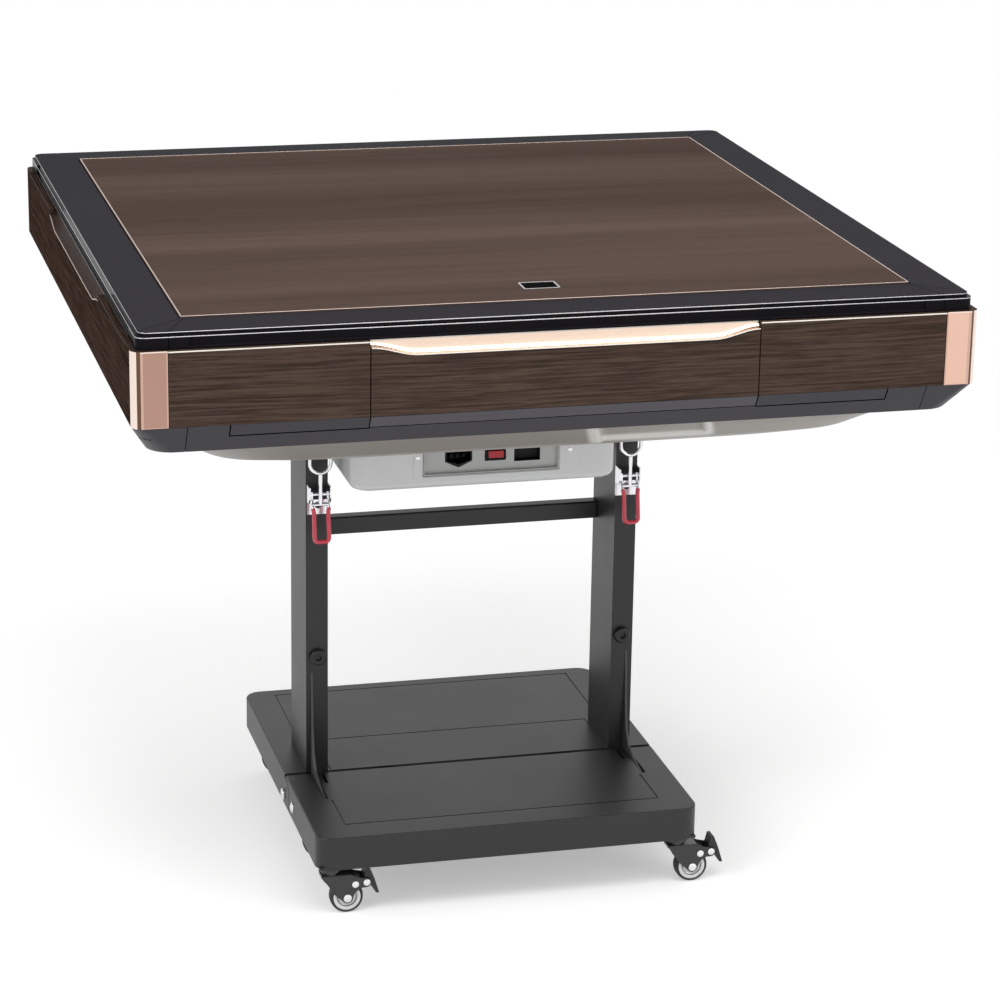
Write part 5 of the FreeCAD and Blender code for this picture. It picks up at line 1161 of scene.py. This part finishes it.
for side, sign in (("left", -1), ("right", 1)):
    middle = sign * LATCH_X
    arms = []
    for hand in (-1, 1):
        x = middle + hand * ARM_OUT
        arms.append(bend_wire("arm", [
            Vector((x, LEVER_PIVOT[0], LEVER_PIVOT[1] + 3)),
            Vector((x, LEVER_PIVOT[0] - 2, LEVER_PIVOT[1] - 6)),
            Vector((x, *BAIL_PIVOT)),
            Vector((x, *SLEEVE_TOP)),
            Vector((x - hand * 0.5, *SLEEVE_KINK)),
        ], 4.0))
    show("lever_arms_" + side, join("lever_arms_" + side, arms), "lever_" + side,
         ["latch_lever_" + side], [latch_chrome])
    sleeve = [
        Vector((middle - ARM_OUT, *SLEEVE_TOP)),
        Vector((middle - ARM_OUT + 1.2, *SLEEVE_KINK)),
        Vector((middle - ARM_OUT + 1.0, *SLEEVE_END)),
        Vector((middle + ARM_OUT - 1.0, *SLEEVE_END)),
        Vector((middle + ARM_OUT - 1.2, *SLEEVE_KINK)),
        Vector((middle + ARM_OUT, *SLEEVE_TOP)),
    ]
    show("lever_grip_" + side,
         bend_wire("lever_grip_" + side, rounded_path(sleeve, 6.0), SLEEVE_THICK),
         "lever_" + side, (), [red_dip])
    loop = rounded_path([Vector((middle + x, BAIL_PIVOT[0], z)) for x, z in LOOP_CORNERS],
                        8.0, closed=True)
    parts = [
        bend_wire("loop", loop, LOOP_WIRE, closed=True),
        bend_wire("stem", [Vector((middle, *BAIL_PIVOT)),
                           Vector((middle, BAIL_PIVOT[0], 500.0)),
                           Vector((middle, BAIL_PIVOT[0], 519.5))], 5.0),
        bend_wire("bar", [Vector((middle - 11.6, *BAIL_PIVOT)),
                          Vector((middle + 11.6, *BAIL_PIVOT))], 4.8),
    ]
    show("bail_wire_" + side, join("bail_wire_" + side, parts), "bail_" + side,
         ["latch_bail_" + side], [latch_chrome])
print("latch wire:", LOOP_WIRE, "mm thick")

# %% [markdown]
# ## Casters
# Six swivel casters: a turned neck, a forked housing, and a wheel in three materials. Turned
# parts come from a lathe helper that spins a profile round an axis.

# %% Lathe helper


def turned(profile, centre, axis="Z", steps=48):
    """Spins (radius, height) points in millimetres round an axis through centre."""
    shape = bmesh.new()
    rings = []
    for radius, height in profile:
        if radius < 1e-6:
            rings.append([shape.verts.new((0, 0, height * MM))])
            continue
        rings.append([
            shape.verts.new((radius * MM * math.cos(math.tau * k / steps),
                             radius * MM * math.sin(math.tau * k / steps), height * MM))
            for k in range(steps)
        ])
    for first, second in zip(rings, rings[1:]):
        for k in range(steps):
            j = (k + 1) % steps
            corners = [first[k % len(first)], first[j % len(first)],
                       second[j % len(second)], second[k % len(second)]]
            unique = list(dict.fromkeys(corners))
            if len(unique) > 2:
                shape.faces.new(unique)
    turn = {"Z": Matrix.Identity(4), "Y": Matrix.Rotation(-QUARTER, 4, "X"),
            "X": Matrix.Rotation(QUARTER, 4, "Y")}[axis]
    bmesh.ops.transform(shape, matrix=Matrix.Translation(Vector(centre) * MM) @ turn,
                        verts=shape.verts)
    return shape


TYRE = [(12.4, -7.6), (17.4, -7.9), (19.2, -8.2), (20.4, -7.0), (20.95, -4.5), (21.0, 0),
        (20.95, 4.5), (20.4, 7.0), (19.2, 8.2), (17.4, 7.9), (12.4, 7.6), (12.4, -7.6)]
RING = [(12.6, -7.7), (13.0, -8.3), (15.0, -8.6), (17.0, -8.3), (17.4, -7.7), (17.4, 7.7),
        (17.0, 8.3), (15.0, 8.6), (13.0, 8.3), (12.6, 7.7), (12.6, -7.7)]
HUB = [(3.1, -7.2), (6.4, -7.2), (7.2, -6.4), (9.5, -5.6), (11.6, -5.9), (12.6, -7.0),
       (12.6, 7.0), (11.6, 5.9), (9.5, 5.6), (7.2, 6.4), (6.4, 7.2), (3.1, 7.2), (3.1, -7.2)]
NECK = [(0, 68), (14.2, 68), (14.5, 67.6), (14.5, 64.4), (14.1, 63.7), (12.6, 63.2),
        (12.6, 62.4), (14.1, 61.9), (14.5, 61.2), (14.5, 58.4), (13.9, 57.2), (11, 56.6),
        (11, 52.8), (0, 52.8)]
CHEEKS = ((-12.0, -9.6), (9.6, 12.0))
ROOF_FRONT, ROOF_WIDE, ROOF_MIDDLE, ROOF_TALL = 12.8, 19.4, 51.1, 3.8


def cheek_outline(braked):
    """One cheek of the fork, seen from the side, in millimetres from the stem."""
    front = [(-12.8, 53), (-12.4, 50), (-10.2, 46.5), (-6.5, 42.5), (-3.2, 37.5), (-0.5, 32),
             (3.0, 27.5), (8.5, 22.5), (12.6, 18.5)]
    tip = [(20 + 7 * math.cos(a), 21 + 7 * math.sin(a))
           for a in [math.radians(d) for d in range(200, 361, 16)]]
    if braked:
        back = [(28.5, 27), (33.0, 31.5), (38.5, 34.2), (44, 33.6), (48.5, 35.0), (50, 39.5),
                (49.0, 44.0), (45.5, 46.2), (38.5, 46.6), (31, 48.5), (25, 53)]
    else:
        back = [(27.5, 26), (29.0, 32), (28.0, 38), (25.5, 44), (23.0, 49.5), (22, 53)]
    return front + tip + back


def make_fork(name, stem, braked):
    """Neck, two cheeks, roof and axle of one caster."""
    x, y = stem
    pieces = [to_mesh(turned(NECK, (x, y, 0)), "neck")]
    outline = cheek_outline(braked)
    for low, high in CHEEKS:
        shape = bmesh.new()
        near = [shape.verts.new(Vector((x + a, y + low, b)) * MM) for a, b in outline]
        far = [shape.verts.new(Vector((x + a, y + high, b)) * MM) for a, b in outline]
        shape.faces.new(near)
        shape.faces.new(list(reversed(far)))
        for i in range(len(outline)):
            j = (i + 1) % len(outline)
            shape.faces.new((near[j], near[i], far[i], far[j]))
        edges = [e for e in shape.edges if abs(e.verts[0].co.y - e.verts[1].co.y) < 1e-7]
        bmesh.ops.bevel(shape, geom=edges, offset=0.5 * MM, segments=2, affect="EDGES")
        pieces.append(to_mesh(shape, "cheek", angle=45))
    shape = bmesh.new()
    bmesh.ops.create_cube(shape, size=1)
    back = 25.0 if braked else 22.0
    for vert in shape.verts:
        vert.co = Vector((x + (back - ROOF_FRONT) / 2 + vert.co.x * (back + ROOF_FRONT),
                          y + vert.co.y * ROOF_WIDE,
                          ROOF_MIDDLE + vert.co.z * ROOF_TALL)) * MM
    pieces.append(to_mesh(shape, "roof"))
    return join(name, pieces)


CASTERS = {
    "front_left": (-225.5, -254.0), "front_right": (225.5, -254.0),
    "middle_left": (-225.5, -80.0), "middle_right": (225.5, -80.0),
    "rear_left": (-225.5, 212.0), "rear_right": (225.5, 212.0),
}
TRAIL = 20.0
for spot, stem in CASTERS.items():
    braked = spot.startswith("front")
    show("fork_housing_" + spot, make_fork("fork_housing_" + spot, stem, braked),
         "fork_" + spot, ["caster_fork_" + spot], [fork_black])
    axle = (stem[0] + TRAIL, stem[1], 21.0)
    show("tyre_" + spot, to_mesh(turned(TYRE, axle, "Y"), "tyre_" + spot, 50),
         "wheel_" + spot, ["caster_wheel_" + spot], [tyre_rubber])
    show("wheel_ring_" + spot, to_mesh(turned(RING, axle, "Y"), "wheel_ring_" + spot, 50),
         "wheel_" + spot, (), [ring_plastic])
    show("wheel_hub_" + spot, to_mesh(turned(HUB, axle, "Y"), "wheel_hub_" + spot, 40),
         "wheel_" + spot, (), [hub_metal])
for spot in ("front_left", "front_right"):
    dress("brake_pedal_" + spot, [pedal_mould], width=0.8)
print("casters:", len(CASTERS))

# %% [markdown]
# ## Rivets and screws
# Small bright heads repeat all over the stand. One node tree sets a domed head with a washer
# on every point of a base mesh and turns it to face a given way.

# %% The fastener tree


def make_heads():
    tree, take, give = open_grower(
        "fastener_heads",
        [
            ("Radius", FLOAT, 0.004),
            ("Height", FLOAT, 0.0016),
            ("Turn X", FLOAT, 0.0),
            ("Turn Y", FLOAT, 0.0),
            ("Sides", WHOLE, 24),
        ],
    )
    ball = place(tree, "GeometryNodeMeshUVSphere", {
        "Segments": take["Sides"], "Rings": 12, "Radius": 1.0,
    })
    flat = place(tree, "ShaderNodeCombineXYZ", {
        "X": take["Radius"], "Y": take["Radius"], "Z": take["Height"],
    })
    dome = place(tree, "GeometryNodeTransform", {
        "Geometry": ball.outputs[0], "Scale": flat.outputs[0],
    })
    washer = place(tree, "GeometryNodeMeshCylinder", {
        "Vertices": take["Sides"],
        "Radius": math_of(tree, "MULTIPLY", take["Radius"], 1.12),
        "Depth": math_of(tree, "MULTIPLY", take["Height"], 0.5),
    })
    whole = place(tree, "GeometryNodeJoinGeometry")
    tree.links.new(dome.outputs[0], whole.inputs[0])
    tree.links.new(washer.outputs[0], whole.inputs[0])
    turn = place(tree, "ShaderNodeCombineXYZ", {"X": take["Turn X"], "Y": take["Turn Y"]})
    spots = place(tree, "GeometryNodeMeshToPoints", {"Mesh": take["Geometry"]})
    heads = place(tree, "GeometryNodeInstanceOnPoints", {
        "Points": spots.outputs[0], "Instance": whole.outputs[0], "Rotation": turn.outputs[0],
    })
    return close_grower(tree, take, give, heads)


fastener_heads = make_heads()


def fasten(name, body, points, radius, height, finish, turn_x=0.0, turn_y=0.0):
    """Sets one head on each point, in millimetres."""
    base = bpy.data.meshes.new(name + "_points")
    base.from_pydata([Vector(p) * MM for p in points], [], [])
    mesh = grow(name, fastener_heads, base, Radius=radius * MM, Height=height * MM,
                Turn_X=turn_x, Turn_Y=turn_y, Finish=finish)
    smooth(mesh, 50)
    show(name, mesh, body)


for spot, (x, y) in CASTERS.items():
    points = [(x + TRAIL, y + hand * 12.0, 21.0) for hand in (-1, 1)]
    fasten("axle_heads_" + spot, "fork_" + spot, points, 4.6, 1.6, zinc_plate, turn_x=QUARTER)
    if spot.startswith("front"):
        points = [(x + a, y + hand * 12.0, b) for a, b in ((30, 39), (44.5, 40.5))
                  for hand in (-1, 1)]
        fasten("fork_rivets_" + spot, "fork_" + spot, points, 3.9, 1.3, zinc_plate,
               turn_x=QUARTER)
points = [(side * 246.9, -117.0, 85.5) for side in (-1, 1)]
fasten("tray_side_bolts", "folding_tray", points, 6.6, 3.4, zinc_plate, turn_y=QUARTER)
fasten("panel_screws", "machine", [(-89.0, -131.0, 549.0), (108.0, -131.0, 549.0)],
       2.4, 0.9, zinc_plate, turn_x=QUARTER)
print("fastener tree:", fastener_heads.name)

# %% [markdown]
# ## Inside the machine
# With the cover off, the table shows a felt field with the console in its middle; with a
# drawer out, it shows the chassis and the shuffling drum. These stay close to their solids.

# %% Inside pieces
dress("playing_board", [felt_green, chassis_enamel], width=0.5,
      paint=lambda face: 0 if face.normal.z > 0.5 else 1)
dress("centre_console", [console_gloss], width=0.6)
dress("chassis_frame", [chassis_enamel], width=0.6)
dress("shuffle_drum", [drum_mould], width=0.5)
dress("fold_hinge_pins", [zinc_plate], width=0.2)

# %% [markdown]
# ## Studio
# The photograph is a plain catalogue shot: white all round, a bright side on the left, and a
# long lens from slightly above. The floor is pale and keeps the table's shadow.

# %% Floor and world
FLOOR_CORNERS = ((-12, -9), (12, -9), (12, 15), (-12, 15))
NEAR_GLOW = 0.38
WHITE_FROM = (0.7, 2.6)


def seen_share(tree):
    """One for rays that the camera sees straight, in a mirror or through glass."""
    ray = place(tree, "ShaderNodeLightPath")
    seen = math_of(tree, "MAXIMUM", ray.outputs["Is Camera Ray"], ray.outputs["Is Glossy Ray"])
    return math_of(tree, "MAXIMUM", seen, ray.outputs["Is Transmission Ray"])


def make_floor():
    shape = bmesh.new()
    for x, y in FLOOR_CORNERS:
        shape.verts.new((x, y, 0))
    shape.faces.new(shape.verts)
    mesh = bpy.data.meshes.new("studio_floor")
    shape.to_mesh(mesh)
    shape.free()
    material = bpy.data.materials.new("studio_floor")
    material.use_nodes = True
    tree = material.node_tree
    tree.nodes.clear()
    paper = place(tree, "ShaderNodeBsdfDiffuse", {"Color": (0.86, 0.86, 0.86, 1)})
    seen = seen_share(tree)
    glow = place(tree, "ShaderNodeEmission", {
        "Strength": math_of(tree, "MULTIPLY", seen, NEAR_GLOW),
    })
    near = place(tree, "ShaderNodeAddShader", {0: paper.outputs[0], 1: glow.outputs[0]})
    far = place(tree, "ShaderNodeEmission", {"Strength": 1.0})
    spot = place(tree, "ShaderNodeTexCoord").outputs["Object"]
    away = place(tree, "ShaderNodeVectorMath", {0: spot}, operation="LENGTH").outputs["Value"]
    fade = math_of(tree, "MULTIPLY", spread(tree, away, *WHITE_FROM), seen)
    whole = place(tree, "ShaderNodeMixShader", {0: fade, 1: near.outputs[0],
                                                2: far.outputs[0]})
    place(tree, "ShaderNodeOutputMaterial", {"Surface": whole.outputs[0]})
    mesh.materials.append(material)
    floor = bpy.data.objects.new("studio_floor", mesh)
    scene.collection.objects.link(floor)


def make_world(strength):
    world = bpy.data.worlds.new("studio")
    scene.world = world
    world.use_nodes = True
    tree = world.node_tree
    tree.nodes.clear()
    seen = seen_share(tree)
    level = spread(tree, seen, 0, 1, strength, 1.0)
    sky = place(tree, "ShaderNodeBackground", {"Color": (1, 1, 1, 1), "Strength": level})
    place(tree, "ShaderNodeOutputWorld", {"Surface": sky.outputs[0]})


make_floor()
make_world(strength=0.55)
print("world:", scene.world.name)

# %% Lamps


def lamp(name, spot, target, size, watts):
    """A soft rectangular lamp that looks at a point."""
    light = bpy.data.lights.new(name, "AREA")
    light.shape = "RECTANGLE"
    light.size, light.size_y = size
    light.energy = watts
    holder = bpy.data.objects.new(name, light)
    scene.collection.objects.link(holder)
    holder.location = spot
    holder.rotation_euler = (Vector(target) - Vector(spot)).to_track_quat("-Z", "Y").to_euler()


lamp("key_lamp", (-3.2, -1.8, 3.0), (0, 0, 0.5), (2.0, 2.0), 60)
lamp("top_lamp", (0.2, -1.2, 2.8), (0, -0.5, 0.6), (2.2, 1.6), 38)
lamp("fill_lamp", (2.6, -3.0, 1.6), (0, 0, 0.5), (1.8, 1.8), 18)
print("lamps:", len(bpy.data.lights))

# %% [markdown]
# ## Camera
# The lens and the camera's place were solved from the straight lines of the table in the
# photograph, so the render can be laid over it.

# %% Camera
FOCAL_SHARE = 3.32213
SENSOR = 36.0
CAMERA_TURNS = (14.5563, 17.6795, 0.9464)
CAMERA_PLACE = (-0.98520, -3.99290, 1.75909)
azimuth, elevation, roll = (math.radians(v) for v in CAMERA_TURNS)
ahead = Vector((math.sin(azimuth) * math.cos(elevation),
                math.cos(azimuth) * math.cos(elevation), -math.sin(elevation)))
right = Vector((math.cos(azimuth), -math.sin(azimuth), 0))
above = right.cross(ahead)
camera_x = right * math.cos(roll) + above * math.sin(roll)
camera_y = above * math.cos(roll) - right * math.sin(roll)
eye = bpy.data.cameras.new("studio_camera")
eye.sensor_width = SENSOR
eye.lens = SENSOR * FOCAL_SHARE
eye.clip_end = 60.0
camera = bpy.data.objects.new("studio_camera", eye)
scene.collection.objects.link(camera)
turn = Matrix((camera_x, camera_y, -ahead)).transposed().to_4x4()
camera.matrix_world = Matrix.Translation(CAMERA_PLACE) @ turn
scene.camera = camera
scene.view_settings.view_transform = "Standard"
print("camera:", [round(v, 4) for v in camera.location])

# %% The end
bpy.context.view_layer.update()
